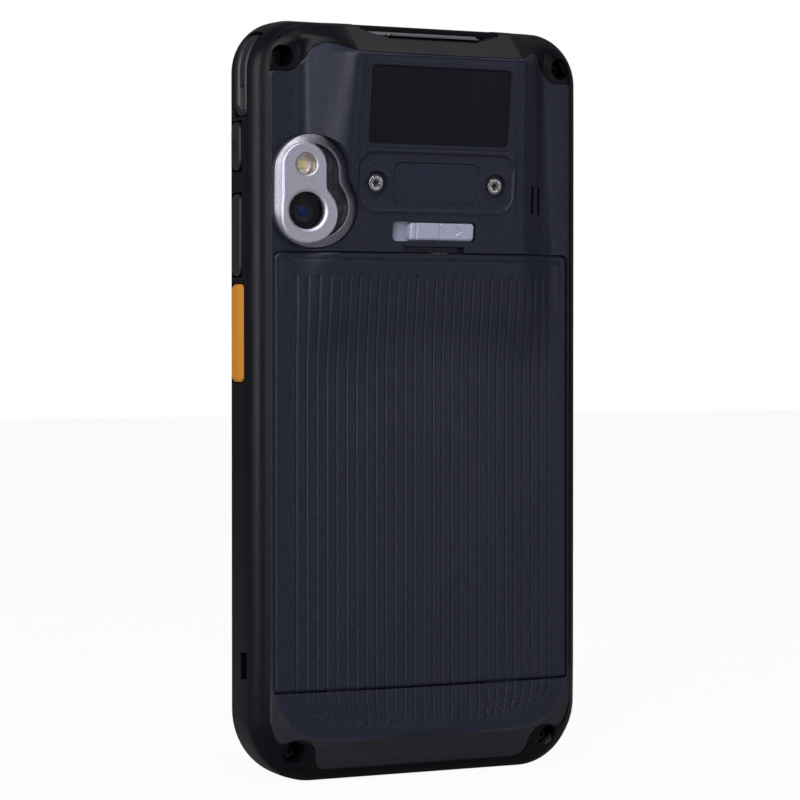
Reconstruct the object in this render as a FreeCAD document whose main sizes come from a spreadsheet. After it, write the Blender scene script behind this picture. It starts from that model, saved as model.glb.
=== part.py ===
import FreeCAD, Part
import math
import os
import re
from FreeCAD import Placement, Rotation, Vector

# Portable data terminal with a removable battery door. Millimetres.
# X to the right as seen from the back, Y towards the screen, Z up to the scan window.
# The origin is the middle of the bottom of the bounding box.

SIZES = {
    "case_wide": 77.0,
    "case_tall": 157.0,
    "corner_round": 14.0,
    "top_corner_round": 11.0,
    "front_y": 11.0,
    "rim_y": 10.7,
    "part_y": -1.5,
    "wall": 1.4,
    "side_wall": 2.5,
    "crown_y": -4.25,
    "crown_radius": 315.0,
    "ramp_low_z": 92.0,
    "ramp_top_z": 149.0,
    "ramp_top_y": -11.0,
    "plateau_half": 18.9,
    "bump_foot_half": 28.0,
    "door_half": 34.4,
    "door_low_z": 19.2,
    "door_top_z": 109.1,
    "door_thick": 1.3,
    "door_gap": 0.3,
    "groove_pitch": 2.205,
    "groove_count": 28,
    "groove_deep": 0.3,
    "bay_half": 28.6,
    "bay_low_z": 24.0,
    "bay_top_z": 105.0,
    "bay_floor_y": 3.6,
    "battery_gap": 0.4,
    "glass_half": 35.8,
    "glass_margin": 2.9,
    "glass_thick": 1.0,
    "key_gap": 0.2,
    "key_out": 0.5,
    "scan_key_low_z": 82.5,
    "scan_key_long": 20.1,
    "scan_key_y": 4.1,
    "scan_key_deep": 5.7,
    "volume_low_z": 104.1,
    "volume_long": 17.1,
    "volume_y": 4.9,
    "volume_deep": 4.3,
    "power_low_z": 125.8,
    "power_long": 10.1,
    "power_y": 5.0,
    "power_deep": 4.6,
    "screw_low_x": 29.9,
    "screw_low_z": 6.7,
    "screw_top_x": 32.6,
    "screw_top_z": 148.9,
    "screw_bore": 2.25,
    "screw_head": 1.7,
    "screw_shank": 0.8,
    "label_half": 16.2,
    "label_low_z": 131.4,
    "label_tall": 15.6,
    "window_half": 9.85,
    "window_low_z": 119.2,
    "window_tall": 8.4,
    "recess_half": 18.3,
    "recess_low_z": 117.6,
    "recess_tall": 12.2,
    "stud_x": 13.9,
    "stud_z": 123.2,
    "stud_head": 1.65,
    "latch_half": 9.7,
    "latch_low_z": 111.5,
    "latch_tall": 4.1,
    "slider_wide": 15.8,
}

doc = FreeCAD.newDocument("Terminal")
sheet = doc.addObject("Spreadsheet::Sheet", "Sizes")
for row, (alias, value) in enumerate(SIZES.items(), start=1):
    sheet.set("A%d" % row, alias)
    sheet.set("B%d" % row, str(value))
    sheet.setAlias("B%d" % row, alias)
doc.recompute()

nodes = {}


def size(alias):
    """One number of the sheet."""
    return float(sheet.get(alias))


def value(text):
    """What a line of sheet names and numbers comes to."""
    if not isinstance(text, str):
        return float(text)
    total = 0.0
    for sign, word in re.findall(r"([+-]?)\s*([\w.]+(?:\s*[*/]\s*[\w.]+)*)", str(text)):
        product = 1.0
        for mark, name in re.findall(r"([*/]?)\s*([\w.]+)", word):
            number = size(name) if name in SIZES else float(name)
            product = product / number if mark == "/" else product * number
        total += -product if sign == "-" else product
    return total


def bind(thing, prop, text):
    """Ties a property to the sheet; a plain number goes in as it is."""
    if not isinstance(text, str):
        text = "%.5f" % text
    named = re.sub(r"[a-z]\w*", lambda found: "Sizes." + found.group(), text)
    thing.setExpression(prop, named)


def put(thing, x, y, z):
    bind(thing, "Placement.Base.x", x)
    bind(thing, "Placement.Base.y", y)
    bind(thing, "Placement.Base.z", z)


def box(name, x, y, z, wide, deep, tall, radius=None, along="Y"):
    """A block by its low corner and size, in a body of its own when its edges are rounded."""
    if radius is None:
        made = doc.addObject("Part::Box", name)
        bind(made, "Length", wide)
        bind(made, "Width", deep)
        bind(made, "Height", tall)
        put(made, x, y, z)
        return made
    body = doc.addObject("PartDesign::Body", name)
    block = body.newObject("PartDesign::AdditiveBox", name + "_block")
    bind(block, "Length", wide)
    bind(block, "Width", deep)
    bind(block, "Height", tall)
    put(block, x, y, z)
    doc.recompute()
    axis = {"X": 0, "Y": 1, "Z": 2}[along]
    picked = []
    for number, edge in enumerate(block.Shape.Edges, start=1):
        run = edge.Vertexes[1].Point - edge.Vertexes[0].Point
        if abs(run[axis]) > 0.99 * run.Length:
            picked.append("Edge%d" % number)
    fillet = body.newObject("PartDesign::Fillet", name + "_round")
    fillet.Base = (block, picked)
    bind(fillet, "Radius", radius)
    body.Tip = fillet
    return body


def rod(name, x, y, z, radius, long, along="Y"):
    """A cylinder from its low end along one axis."""
    made = doc.addObject("Part::Cylinder", name)
    bind(made, "Radius", radius)
    bind(made, "Height", long)
    turn = {"X": (Vector(0, 1, 0), 90), "Y": (Vector(1, 0, 0), -90), "Z": (Vector(0, 0, 1), 0)}
    made.Placement = Placement(Vector(), Rotation(*turn[along]))
    put(made, x, y, z)
    return made


def outline(name, points, plane, at=0.0):
    """A closed sketch of straight lines in one of the three planes."""
    sketch = doc.addObject("Sketcher::SketchObject", name)
    turn = {
        "XZ": Rotation(Vector(1, 0, 0), 90),
        "YZ": Rotation(0.5, 0.5, 0.5, 0.5),
        "XY": Rotation(),
    }
    shift = {"XZ": Vector(0, at, 0), "YZ": Vector(at, 0, 0), "XY": Vector(0, 0, at)}
    corners = [Vector(a, b, 0) for a, b in points]
    for start, end in zip(corners, corners[1:] + corners[:1]):
        sketch.addGeometry(Part.LineSegment(start, end), False)
    sketch.Placement = Placement(shift[plane], turn[plane])
    return sketch


def rounded(name, half, low, high, radius, at, top_radius=None):
    """A closed sketch of a rounded rectangle, standing across Y. Its top corners can be rounder or less so."""
    sketch = doc.addObject("Sketcher::SketchObject", name)
    top = radius if top_radius is None else top_radius
    middles = [(half - radius, low + radius, -90, radius), (half - top, high - top, 0, top),
               (top - half, high - top, 90, top), (radius - half, low + radius, 180, radius)]
    ends = []
    for x, z, first, radius in middles:
        circle = Part.Circle(Vector(x, z, 0), Vector(0, 0, 1), radius)
        arc = Part.ArcOfCircle(circle, math.radians(first), math.radians(first + 90))
        ends.append((arc.StartPoint, arc.EndPoint))
        sketch.addGeometry(arc, False)
        following = ends[-1][1]
        if len(ends) > 1:
            sketch.addGeometry(Part.LineSegment(ends[-2][1], ends[-1][0]), False)
    sketch.addGeometry(Part.LineSegment(following, ends[0][0]), False)
    sketch.Placement = Placement(Vector(0, at, 0), Rotation(Vector(1, 0, 0), 90))
    return sketch


def extrude(name, sketch, run, length):
    """A prism of a sketch; the length is tied to the sheet."""
    made = doc.addObject("Part::Extrusion", name)
    made.Base = sketch
    made.DirMode = "Custom"
    made.Dir = run
    made.Solid = True
    bind(made, "LengthFwd", length)
    return made


def loft(name, sections):
    made = doc.addObject("Part::Loft", name)
    made.Sections = sections
    made.Solid = True
    made.Ruled = True
    return made


def fuse(name, things):
    made = doc.addObject("Part::MultiFuse", name)
    made.Shapes = things
    made.Refine = True
    return made


def common(name, things):
    made = doc.addObject("Part::MultiCommon", name)
    made.Shapes = things
    return made


def cut(name, base, tools):
    """A piece less one or more others."""
    made = doc.addObject("Part::Cut", name)
    made.Base = base
    made.Tool = tools[0] if len(tools) == 1 else fuse(name + "_tools", tools)
    return made


def node(label, thing):
    """Gives a finished piece the name that it is exported under."""
    thing.Label = label
    nodes[label] = thing
    return thing


ramp_rise = size("crown_y") - size("ramp_top_y")
ramp_turn = math.degrees(math.atan2(ramp_rise, size("ramp_top_z") - size("ramp_low_z")))


def ramp_y(z):
    """Where the sloping rear face of the raised top section is at a height."""
    share = (z - size("ramp_low_z")) / (size("ramp_top_z") - size("ramp_low_z"))
    return size("crown_y") - ramp_rise * share


def on_ramp(name, x, z, wide, tall, sunk, thick, radius=None):
    """A block laid on the sloping rear face, its outer face sunk below it."""
    made = box(name, -value(wide) / 2, 0, 0, wide, thick, tall, radius)
    low = value(z)
    tilt = Rotation(Vector(1, 0, 0), ramp_turn)
    at = Vector(value(x), ramp_y(low), low) + tilt.multVec(Vector(0, value(sunk), 0))
    if radius is None:
        made.setExpression("Placement.Base.x", None)
        made.setExpression("Placement.Base.y", None)
        made.setExpression("Placement.Base.z", None)
        at += Vector(-value(wide) / 2, 0, 0)
    made.Placement = Placement(at, tilt)
    return made


def rod_on_ramp(name, x, z, radius, sunk, long):
    """A round piece that stands square to the sloping rear face."""
    made = doc.addObject("Part::Cylinder", name)
    bind(made, "Radius", radius)
    bind(made, "Height", long)
    tilt = Rotation(Vector(1, 0, 0), ramp_turn)
    lie = tilt.multiply(Rotation(Vector(1, 0, 0), -90))
    at = Vector(value(x), ramp_y(value(z)), value(z)) + tilt.multVec(Vector(0, value(sunk), 0))
    made.Placement = Placement(at, lie)
    return made


def shell_solid(name, inset):
    """The outside of the closed case, or the same shape brought in by an inset."""
    half = size("case_wide") / 2
    high = size("case_tall")
    turn = size("corner_round")
    top_turn = size("top_corner_round")
    stations = [
        (size("rim_y") - inset, half - inset, inset, high - inset, turn, top_turn),
        (3.0, half - inset, inset, high - inset, turn, top_turn),
        (1.6, half - 0.25 - inset, 0.5 + inset, high - 0.5 - inset, turn, top_turn),
        (size("part_y"), half - 1.3 - inset, 4.8 + inset, high - 2.4 - inset, turn - 1.5, top_turn - 1.0),
        (-4.6 + inset, 31.0 - inset, 9.6 + inset, high - 5.4 - inset, 10.0, 8.5),
    ]
    sections = []
    for number, (at, wide, low, top, radius, top_radius) in enumerate(stations):
        sections.append(rounded("%s_section_%d" % (name, number), wide, low, top, radius - inset, at,
                                top_radius - inset))
    hull = loft(name + "_hull", sections)
    reach = size("crown_radius") - inset
    crown = doc.addObject("Part::Cylinder", name + "_crown")
    crown.Radius = reach
    crown.Height = high + 20
    crown.Placement.Base = Vector(0, size("crown_y") + size("crown_radius"), -10)
    base = common(name + "_base", [hull, crown])
    rear = size("ramp_top_y")
    side = outline(name + "_ramp_side", [
        (3.0, 60.0), (size("crown_y") + inset, size("ramp_low_z")),
        (rear + inset, size("ramp_top_z")), (rear + 0.2 + inset, size("ramp_top_z") + 0.8 - inset),
        (-7.0 + inset, 153.2 - inset), (-3.4, high - 0.9 - inset), (3.0, high - inset)], "YZ", -40)
    ramp = extrude(name + "_ramp", side, Vector(1, 0, 0), 80)
    foot = size("bump_foot_half") - inset
    top = size("plateau_half") - inset * 0.6
    cross = outline(name + "_bump_cross", [
        (-foot - 3.0, 3.0), (-foot - 3.0, -2.2 + inset), (-foot, -4.0 + inset),
        (-top - 2.0, -9.4 + inset), (-top, rear - 0.1 + inset), (top, rear - 0.1 + inset),
        (top + 2.0, -9.4 + inset), (foot, -4.0 + inset), (foot + 3.0, -2.2 + inset),
        (foot + 3.0, 3.0)], "XY", 40)
    rise = extrude(name + "_rise", cross, Vector(0, 0, 1), 130)
    plan = rounded(name + "_plan", half - 1.3 - inset, 2.0 + inset, high - inset, turn - inset, 3.0,
                   top_turn - inset)
    block = extrude(name + "_plan_block", plan, Vector(0, -1, 0), 16)
    bump = common(name + "_bump", [ramp, rise, block])
    return fuse(name, [base, bump])


# The case is made twice, as its outside and as its inside, and is then parted at part_y.
# The corners and the top cap run back past that plane: they belong to the side frame.
outside = shell_solid("outside", 0.0)
inside = shell_solid("inside", size("wall"))
top_cap = [(-45, 144.2), (-36.6, 144.2), (-35.7, 145.6), (-34.0, 146.1), (-32.2, 145.8),
           (-30.4, 146.0), (-29.0, 147.3), (-27.9, 148.8), (-27.0, 150.3), (-25.8, 151.5),
           (-24.0, 152.0), (-22.0, 151.2), (-20.2, 150.3), (-18.3, 149.9)]
top_cap += [(-x, z) for x, z in reversed(top_cap)] + [(45, 165), (-45, 165)]
low_corner = [(-45, 20.5), (-37.0, 20.5), (-36.4, 16.8), (-35.2, 12.2), (-33.7, 8.8), (-32.2, 8.4),
              (-30.0, 9.2), (-27.0, 8.9), (-25.5, 7.3), (-25.2, 5.4), (-24.6, 3.4), (-22.8, 2.4),
              (-22.8, -5), (-45, -5)]


def zone(name, points):
    """A prism behind the parting plane over one region of the rear face."""
    return extrude(name, outline(name + "_flat", points, "XZ", size("part_y") + 4.0), Vector(0, -1, 0), 20)


mirrored = [(-x, z) for x, z in reversed(low_corner)]
frame_zones = fuse("frame_zones", [zone("zone_top", top_cap), zone("zone_left", low_corner),
                                   zone("zone_right", mirrored)])
front_space = box("front_space", -50, "part_y", -5, 100, 20, 170)
rear_space = box("rear_space", -50, "part_y - 0.05 - 20", -5, 100, 20, 170)
frame_region = fuse("frame_region", [front_space, frame_zones])
rear_zone = cut("rear_zone", rear_space, [frame_zones])


# Side frame: the black perimeter moulding with the front rim, the corners and the top cap.
opening = rounded("front_opening", size("glass_half") + 0.1, size("glass_margin") - 0.1,
                  size("case_tall") - size("glass_margin") + 0.1, 11.6, size("front_y") + 1)
opening_cut = extrude("front_opening_cut", opening, Vector(0, -1, 0), "glass_thick + 1.0")
hollow = rounded("frame_hollow", size("case_wide") / 2 - size("side_wall"), 3.2,
                 size("case_tall") - 3.2, 11.0, 8.9)
hollow_cut = extrude("frame_hollow_cut", hollow, Vector(0, -1, 0), "8.9 - part_y + 0.1")
aperture = rounded("display_aperture", 34.7, 5.5, 151.5, 9.0, size("front_y") + 1)
aperture_cut = extrude("display_aperture_cut", aperture, Vector(0, -1, 0), 6.0)
corner_posts = []
for side in (-1, 1):
    for end in ("low", "top"):
        corner_posts.append(rod("post_%s_%d" % (end, side), side * size("screw_%s_x" % end),
                                "part_y - 2.0", "screw_%s_z" % end, 3.1 if end == "low" else 2.6, 9.8))
outer_frame = common("frame_outer", [outside, frame_region])
posts = common("frame_posts", [fuse("posts", corner_posts), outside, frame_region])
emptied = cut("frame_emptied", outer_frame, [opening_cut, hollow_cut, aperture_cut])
rear_hollow = common("rear_hollow", [inside, box(
    "rear_hollow_box", -26, "part_y - 12.0", 20, 52, 12.2, 131.5)])
framed = fuse("frame_with_posts", [cut("frame_hollowed", emptied, [rear_hollow]), posts])
frame_cuts = []
for side in (-1, 1):
    for end in ("low", "top"):
        name = "%s_%d" % (end, side)
        x = side * size("screw_%s_x" % end)
        z = "screw_%s_z" % end
        frame_cuts.append(rod("recess_" + name, x, "part_y - 8.5", z, "screw_bore", 9.6))
        frame_cuts.append(rod("shank_hole_" + name, x, "part_y - 2.0", z, "screw_shank + 0.15", 12))
        frame_cuts.append(rod("insert_hole_" + name, x, 2.3, z, 1.45, 4.1))
KEYS = (("scan_key_left", "scan_key", -1), ("scan_key_right", "scan_key", 1),
        ("volume_rocker", "volume", -1), ("power_key", "power", -1))
for name, key, side in KEYS:
    frame_cuts.append(box(name + "_hole", side * 37.3 - 2.7, key + "_y - key_gap",
                          key + "_low_z - key_gap", 5.4, key + "_deep + 2 * key_gap",
                          key + "_long + 2 * key_gap"))
frame_cuts.append(box("lanyard_slot", -39, 2.8, 21.6, 4.2, 2.7, 5.5))
frame_cuts.append(box("socket_hole", -39.5, 3.5, 137.4, 5.0, 3.4, 8.9))
frame_cuts.append(box("window_pocket", -14, -7.2, 153.5, 28, 8.4, 6))
frame_cuts.append(box("window_seat", -11.1, -6.3, 152.5, 22.2, 6.9, 1.1))
frame_cuts.append(box("window_throat", -9.0, -5.6, 150.0, 18.0, 5.4, 3.0))
frame_cuts.append(rod("microphone_hole", 12, 6.5, -1, 0.5, 5.0, "Z"))


# The port cover ends half way round the upper corner, at this height.
FLAP_TOP = size("case_tall") - size("top_corner_round") * (1 - math.sin(math.radians(45)))


def flap_solid(name, inset, grow):
    """The outer layer of the left flank where the port cover lies, down to an inset."""
    core = rounded(name + "_core", size("case_wide") / 2 - inset, inset, size("case_tall") - inset,
                   size("corner_round") - inset, 20.0, size("top_corner_round") - inset)
    core_block = extrude(name + "_core_block", core, Vector(0, -1, 0), 40)
    patch = box(name + "_patch", -40, 2.8 - grow, 137.0 - grow, 12, 5.0 + 2 * grow, FLAP_TOP - 137.0 + 2 * grow)
    return cut(name, common(name + "_skin", [outside, patch]), [core_block])


frame_cuts.append(flap_solid("flap_bed", 1.3, 0.2))
node("side_frame", cut("side_frame_cut", framed, frame_cuts))

# Rear housing: skin, battery bay, door rim and the seats of everything on the back.
skin = cut("rear_skin", common("rear_outer", [outside, rear_zone]), [inside])
rim = box("door_rim", -35.8, -2.2, 15.5, 71.6, 2.5, 97)
tray = box("bay_tray", "-bay_half - 1.2", -0.8, "bay_low_z - 1.2", "2 * bay_half + 2.4",
           "bay_floor_y + 1.8", "bay_top_z - bay_low_z + 2.4")
pad = on_ramp("latch_pad", 0, "109.9", "24.0", "7.4", "0.8", "1.9")
bosses = [rod_on_ramp("stud_boss_%d" % side, side * size("stud_x"), "stud_z", 2.9, "0.8", 4.4)
          for side in (-1, 1)]
rear_solid = fuse("rear_solid", [skin, common("rim_kept", [rim, outside]), tray, pad] + bosses)
rear_cuts = [
    box("door_opening", "-door_half - door_gap", -14, "door_low_z - door_gap",
        "2 * door_half + 2 * door_gap", "14.0 - 0.7", "door_top_z - door_low_z + 2 * door_gap"),
    box("battery_space", "-bay_half", -5, "bay_low_z", "2 * bay_half", "bay_floor_y + 5",
        "bay_top_z - bay_low_z"),
    box("contact_opening", -8.2, 0.4, 104.5, 16.4, 3.2, 2.0),
    box("card_opening", 4.9, 3.0, 85.9, 15.2, 3.0, 15.2),
    box("nail_notch", -7.3, -9.0, 109.0, 14.6, 3.6, 1.4),
    box("speaker_slot_1", 23.6, -12, 117.6, 0.8, 10.9, 5.9),
    box("speaker_slot_2", 26.2, -12, 117.6, 0.8, 10.9, 5.9),
    on_ramp("label_seat", 0, "label_low_z - 0.1", "2 * label_half + 0.2", "label_tall + 0.2", "-2.1", 3.0, 0.7),
    on_ramp("recess_bed", 0, "recess_low_z", "2 * recess_half", "recess_tall", "-2.75", 3.0, 3.0),
    on_ramp("window_bed", 0, "window_low_z - 0.1", "2 * window_half + 0.2", "window_tall + 0.2", "-2.0", 3.0, 1.8),
    on_ramp("latch_slot", 0, "latch_low_z", "2 * latch_half", "latch_tall", "-1.0", 3.0),
    on_ramp("bolt_slot", 0, "112.3", "17.0", "2.4", "0.0", 4.0),
]
for x in (-4.6, 4.6):
    rear_cuts.append(box("hinge_slot_%d" % (x * 5), x * 4 - 4.3, -3.1, 16.6, 8.6, 2.7, 2.6))
for side in (-1, 1):
    x = side * size("stud_x")
    rear_cuts.append(rod_on_ramp("stud_seat_%d" % side, x, "stud_z", 2.55, "-2.0", 3.0))
    rear_cuts.append(rod_on_ramp("stud_hole_%d" % side, x, "stud_z", 1.05, "0.0", 4.6))


def keyhole(name, grow, low_y, deep):
    """The two overlapping discs of the camera surround."""
    upper = rod(name + "_upper", -27.6, low_y, 125.4, 7.7 + grow, deep)
    lower = rod(name + "_lower", -26.6, low_y, 118.7, 8.7 + grow, deep)
    return fuse(name, [upper, lower])


camera_collar = cut("camera_collar", keyhole("collar_block", 0.9, -4.4, 2.9), [
    keyhole("collar_core", -0.6, -9.0, 9.0)])
rear_solid = fuse("rear_solid_with_collar", [rear_solid, camera_collar])
rear_cuts.append(keyhole("bezel_seat", 0.15, -12.0, 8.2))
rear_cuts.append(keyhole("camera_opening", -0.7, -12.0, 12.0))


def crown_y(x):
    """Where the arched rear face is, away from the raised section."""
    return size("crown_y") + size("crown_radius") - math.sqrt(size("crown_radius") ** 2 - x * x)


def groove(name, x, low, top):
    """A narrow V cut down the arched face."""
    y = crown_y(x)
    deep = size("groove_deep")
    mouth = outline(name + "_cross", [(x - 0.35, y - 0.15), (x + 0.35, y - 0.15), (x, y + deep)], "XY", low)
    return extrude(name, mouth, Vector(0, 0, 1), top - low)


door_grooves = []
for number in range(int(size("groove_count"))):
    x = (number - (size("groove_count") - 1) / 2) * size("groove_pitch")
    foot = 11.6 + 5.5 * max(0.0, abs(x) / 29.8 - 0.55) ** 1.5 * 3.3
    rear_cuts.append(groove("chin_groove_%d" % number, x, foot, 18.9))
    top = 104.5 if abs(x) > 28.5 else 90.5
    door_grooves.append(groove("door_groove_%d" % number, x, 19.0, top))
node("rear_housing", cut("rear_housing_cut", rear_solid, rear_cuts))

# Battery door: a bowed cover with two tongues below and a catch lug near its top edge.
door_block = box("door_block", "-door_half", -12, "door_low_z", "2 * door_half", 12,
                 "door_top_z - door_low_z")
door_skin = cut("door_skin", common("door_outer", [outside, door_block]), [inside])
tongues = [box("door_tongue_%d" % side, side * 18.4 - 4.0, -2.6, 17.1, 8.0, 1.0, 3.4) for side in (-1, 1)]
tongue_roots = [box("tongue_root_%d" % side, side * 18.4 - 4.0, -3.3, 19.2, 8.0, 1.7, 1.3) for side in (-1, 1)]
lug = on_ramp("door_lug", 3.5, "104.9", "7.0", "1.8", "1.0", "2.6")
door_whole = fuse("door_whole", [door_skin, lug] + tongues + tongue_roots)
seal_outer = box("seal_outer", -33.4, -0.95, 20.4, 66.8, 0.2, 87.4, 2.0)
seal_inner = box("seal_inner", -31.9, -4.0, 21.9, 63.8, 4.0, 84.4, 1.2)
rib_outer = box("rib_outer", -33.3, -2.4, 20.5, 66.6, 1.45, 87.2, 1.9)
door_rib = cut("door_rib", rib_outer, [seal_inner])
door_whole = fuse("door_with_rib", [door_whole, common("rib_kept", [door_rib, outside])])
node("battery_door", cut("battery_door_cut", door_whole, door_grooves))
node("door_seal", cut("door_seal_cut", seal_outer, [seal_inner]))

# Screen side: glass, panel and what looks out through the glass.
glass = extrude("glass_plate", rounded("glass_outline", size("glass_half"), size("glass_margin"),
                size("case_tall") - size("glass_margin"), 11.5, size("front_y")),
                Vector(0, -1, 0), "glass_thick - 0.05")
node("cover_glass", cut("cover_glass_cut", glass, [box("earpiece_slot", -6, 9, 149.9, 12, 3, 1.2, 0.5)]))
node("display_panel", box("display_panel_block", -34.2, 8.5, 14.0, 68.4, 1.45, 131.0, 1.0))
node("earpiece_mesh", box("earpiece_mesh_block", -5.9, 10.1, 150.0, 11.8, 0.5, 1.0, 0.45))
node("earpiece_module", box("earpiece_module_block", -7.0, 7.6, 147.2, 14.0, 2.35, 4.1, 1.0))
node("front_camera", fuse("front_camera_parts", [
    box("front_camera_base", 15.0, 7.6, 146.8, 6.0, 1.2, 4.4),
    rod("front_camera_barrel", 18.0, 8.8, 149.2, 1.9, 1.1)]))

# Chassis: a cast plate on the corner posts, with folded flanges that carry the key boards.
plate = box("chassis_plate_block", -33.3, 6.4, 3.6, 66.6, 0.9, 148.6, 9.0)
flanges = [box("chassis_flange_left", -33.9, 5.0, 78.0, 0.8, 3.0, 58.5),
           box("chassis_flange_right", 33.1, 5.0, 78.0, 0.8, 3.0, 29.0)]
chassis_holes = [box("chassis_microphone_gap", 9.0, 5, 3, 6.0, 4, 5.5, 0.8),
                 box("chassis_cable_gap", -8.0, 5, 130.0, 16.0, 4, 6.0, 1.5),
                 box("chassis_socket_gap", -34.5, 5, 136.7, 9.0, 2.2, 10.2)]
for side in (-1, 1):
    for end in ("low", "top"):
        chassis_holes.append(rod("chassis_hole_%s_%d" % (end, side), side * size("screw_%s_x" % end),
                                 5, "screw_%s_z" % end, 1.0, 4))
node("chassis_plate", cut("chassis_cut", fuse("chassis_whole", [plate] + flanges), chassis_holes))

# Boards and the larger parts on them.
node("mainboard", box("mainboard_block", -32.0, 4.9, 107.8, 64.0, 0.9, 28.6, 1.0))
node("processor_shield", box("processor_shield_block", -8.0, 2.9, 111.0, 22.0, 1.95, 18.0, 0.8))
node("radio_shield", box("radio_shield_block", 16.0, 3.4, 126.5, 14.0, 1.45, 9.0, 0.8))
node("lower_board", box("lower_board_block", -28.0, 4.9, 11.0, 56.0, 0.9, 10.6, 1.0))
node("microphone", box("microphone_block", 10.2, 5.0, 4.6, 3.6, 2.6, 3.2, 0.3))
node("vibration_motor", rod("vibration_motor_can", -20.0, 2.5, 14.5, 2.1, 11.0, "X"))
contact_block = fuse("contact_parts", [box("contact_body", -8, 0.7, 105.1, 16, 2.7, 4.0),
                                       box("contact_foot", -8, 3.3, 107.9, 16, 1.6, 1.2)])
contact_slots = [box("contact_slot_%d" % place, place * 3.0 - 0.5, 0.9, 104.0, 1.0, 2.2, 2.2)
                 for place in (-2, -1, 0, 1, 2)]
node("battery_contacts", cut("battery_contacts_cut", contact_block, contact_slots))
node("card_socket", cut("card_socket_cut", box("card_shell", 5.0, 3.8, 86.0, 15.0, 2.2, 15.0, 0.5), [
    box("card_mouth", 6.2, 4.2, 80.0, 12.6, 1.2, 19.0)]))
node("data_socket", cut("data_socket_cut", box("socket_shell", -36.2, 3.6, 137.5, 7.0, 3.2, 8.7, 1.4, "X"), [
    box("socket_mouth", -38.0, 3.9, 137.8, 7.8, 2.6, 8.1, 1.1, "X")]))
node("socket_tongue", box("socket_tongue_block", -35.8, 4.85, 138.7, 5.6, 0.7, 6.3))
node("speaker_module", box("speaker_block", 19.5, -1.2, 113.6, 11.0, 3.7, 12.0, 1.0))
node("speaker_mesh", box("speaker_mesh_plate", 22.8, -1.45, 116.6, 5.4, 0.2, 7.9, 0.6))
node("key_board_left", box("key_board_left_strip", -34.25, 5.1, 79.0, 0.3, 2.8, 57.3))
node("key_board_right", box("key_board_right_strip", 33.95, 5.1, 79.0, 0.3, 2.8, 27.0))

# Battery: a slab with rounded long edges and a row of contact pads.
cell = box("battery_block", "battery_gap - bay_half", -1.25, "bay_low_z + battery_gap",
           "2 * bay_half - 2 * battery_gap", 4.75, "bay_top_z - bay_low_z - 2 * battery_gap", 1.2, "Z")
node("battery", cut("battery_cut", cell, [
    box("battery_pads", -7.5, 1.0, "bay_top_z - battery_gap - 0.25", 15, 2.0, 1.0)]))

# Camera group on the left shoulder.
ring = cut("bezel_ring", keyhole("bezel_outer", 0.0, -6.0, 1.75), [keyhole("bezel_inner", -2.1, -9.0, 9.0)])
edge = common("bezel_top", [ring, keyhole("bezel_chamfer", 0.0, -6.0, 1.75)])
node("camera_bezel", edge)
island = cut("island_cut", keyhole("island_block", -2.6, -6.4, 3.0), [
    rod("lens_hole", -28.5, -9.0, 117.4, 3.85, 9.0), rod("flash_hole", -29.1, -9.0, 126.8, 2.25, 9.0)])
floor_plate = cut("island_floor", keyhole("island_floor_block", -1.0, -4.1, 0.7), [
    rod("lens_hole_floor", -28.5, -9.0, 117.4, 3.85, 9.0), rod("flash_hole_floor", -29.1, -9.0, 126.8, 2.25, 9.0)])
node("camera_island", fuse("camera_island_whole", [island, floor_plate]))
node("camera_window", rod("camera_window_disc", -28.5, -5.6, 117.4, 3.8, 0.6))
barrel = cut("barrel_cut", rod("barrel_block", -28.5, -4.9, 117.4, 3.7, 2.4), [
    rod("barrel_bore", -28.5, -5.5, 117.4, 2.2, 1.2)])
node("camera_barrel", barrel)
node("camera_module", box("camera_module_block", -32.4, -2.45, 113.6, 7.8, 5.4, 7.8, 0.6))
node("flash_lens", rod("flash_lens_disc", -29.1, -5.9, 126.8, 2.2, 0.9))
node("flash_lamp", fuse("flash_lamp_parts", [
    rod("flash_cup", -29.1, -4.9, 126.8, 2.1, 1.6), box("flash_base", -31.1, -3.35, 124.8, 4.0, 0.8, 4.0)]))

# Plates, studs and the latch on the sloping back.
node("label_plate", on_ramp("label_plate_block", 0, "label_low_z", "2 * label_half", "label_tall", "0.35", 0.5, 0.6))
node("contact_window", on_ramp("contact_window_block", 0, "window_low_z", "2 * window_half", "window_tall",
                               "0.5", 0.45, 1.7))
stud_parts = []
stud_sockets = []
for side in (-1, 1):
    x = side * size("stud_x")
    stud_parts.append(rod_on_ramp("stud_head_%d" % side, x, "stud_z", "stud_head", "0.28", 0.7))
    stud_parts.append(rod_on_ramp("stud_thread_%d" % side, x, "stud_z", 0.98, "0.9", 3.4))
    stud_sockets.append(rod_on_ramp("stud_socket_%d" % side, x, "stud_z", 0.75, "0.0", 0.9))
node("accessory_screws", cut("accessory_screws_cut", fuse("studs", stud_parts), stud_sockets))
bed = on_ramp("latch_bed_plate", 0, "latch_low_z + 0.1", "2 * latch_half - 0.2", "latch_tall - 0.2", "1.6", 0.38)
bed_slot = on_ramp("latch_bed_slot", 0, "112.4", "16.6", "2.2", "1.0", 2.0)
node("latch_bed", cut("latch_bed_cut", bed, [bed_slot]))
slider_x = size("latch_half") - 0.2 - size("slider_wide") / 2
grip = on_ramp("slider_grip", slider_x - 1.6, "latch_low_z + 0.5", "4.6", "latch_tall - 1.0", "-0.55", 0.6)
slide_body = on_ramp("slider_body", slider_x, "latch_low_z + 0.2", "slider_wide", "latch_tall - 0.4", "-0.2", 1.65)
node("latch_slider", fuse("latch_slider_whole", [slide_body, grip]))
stem = on_ramp("bolt_stem", slider_x + 1.4, "112.7", "4.0", "1.6", "1.5", 2.2)
finger = on_ramp("bolt_finger", slider_x + 1.4, "107.9", "4.0", "6.3", "3.1", 0.6)
node("latch_bolt", fuse("latch_bolt_whole", [stem, finger]))

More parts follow.
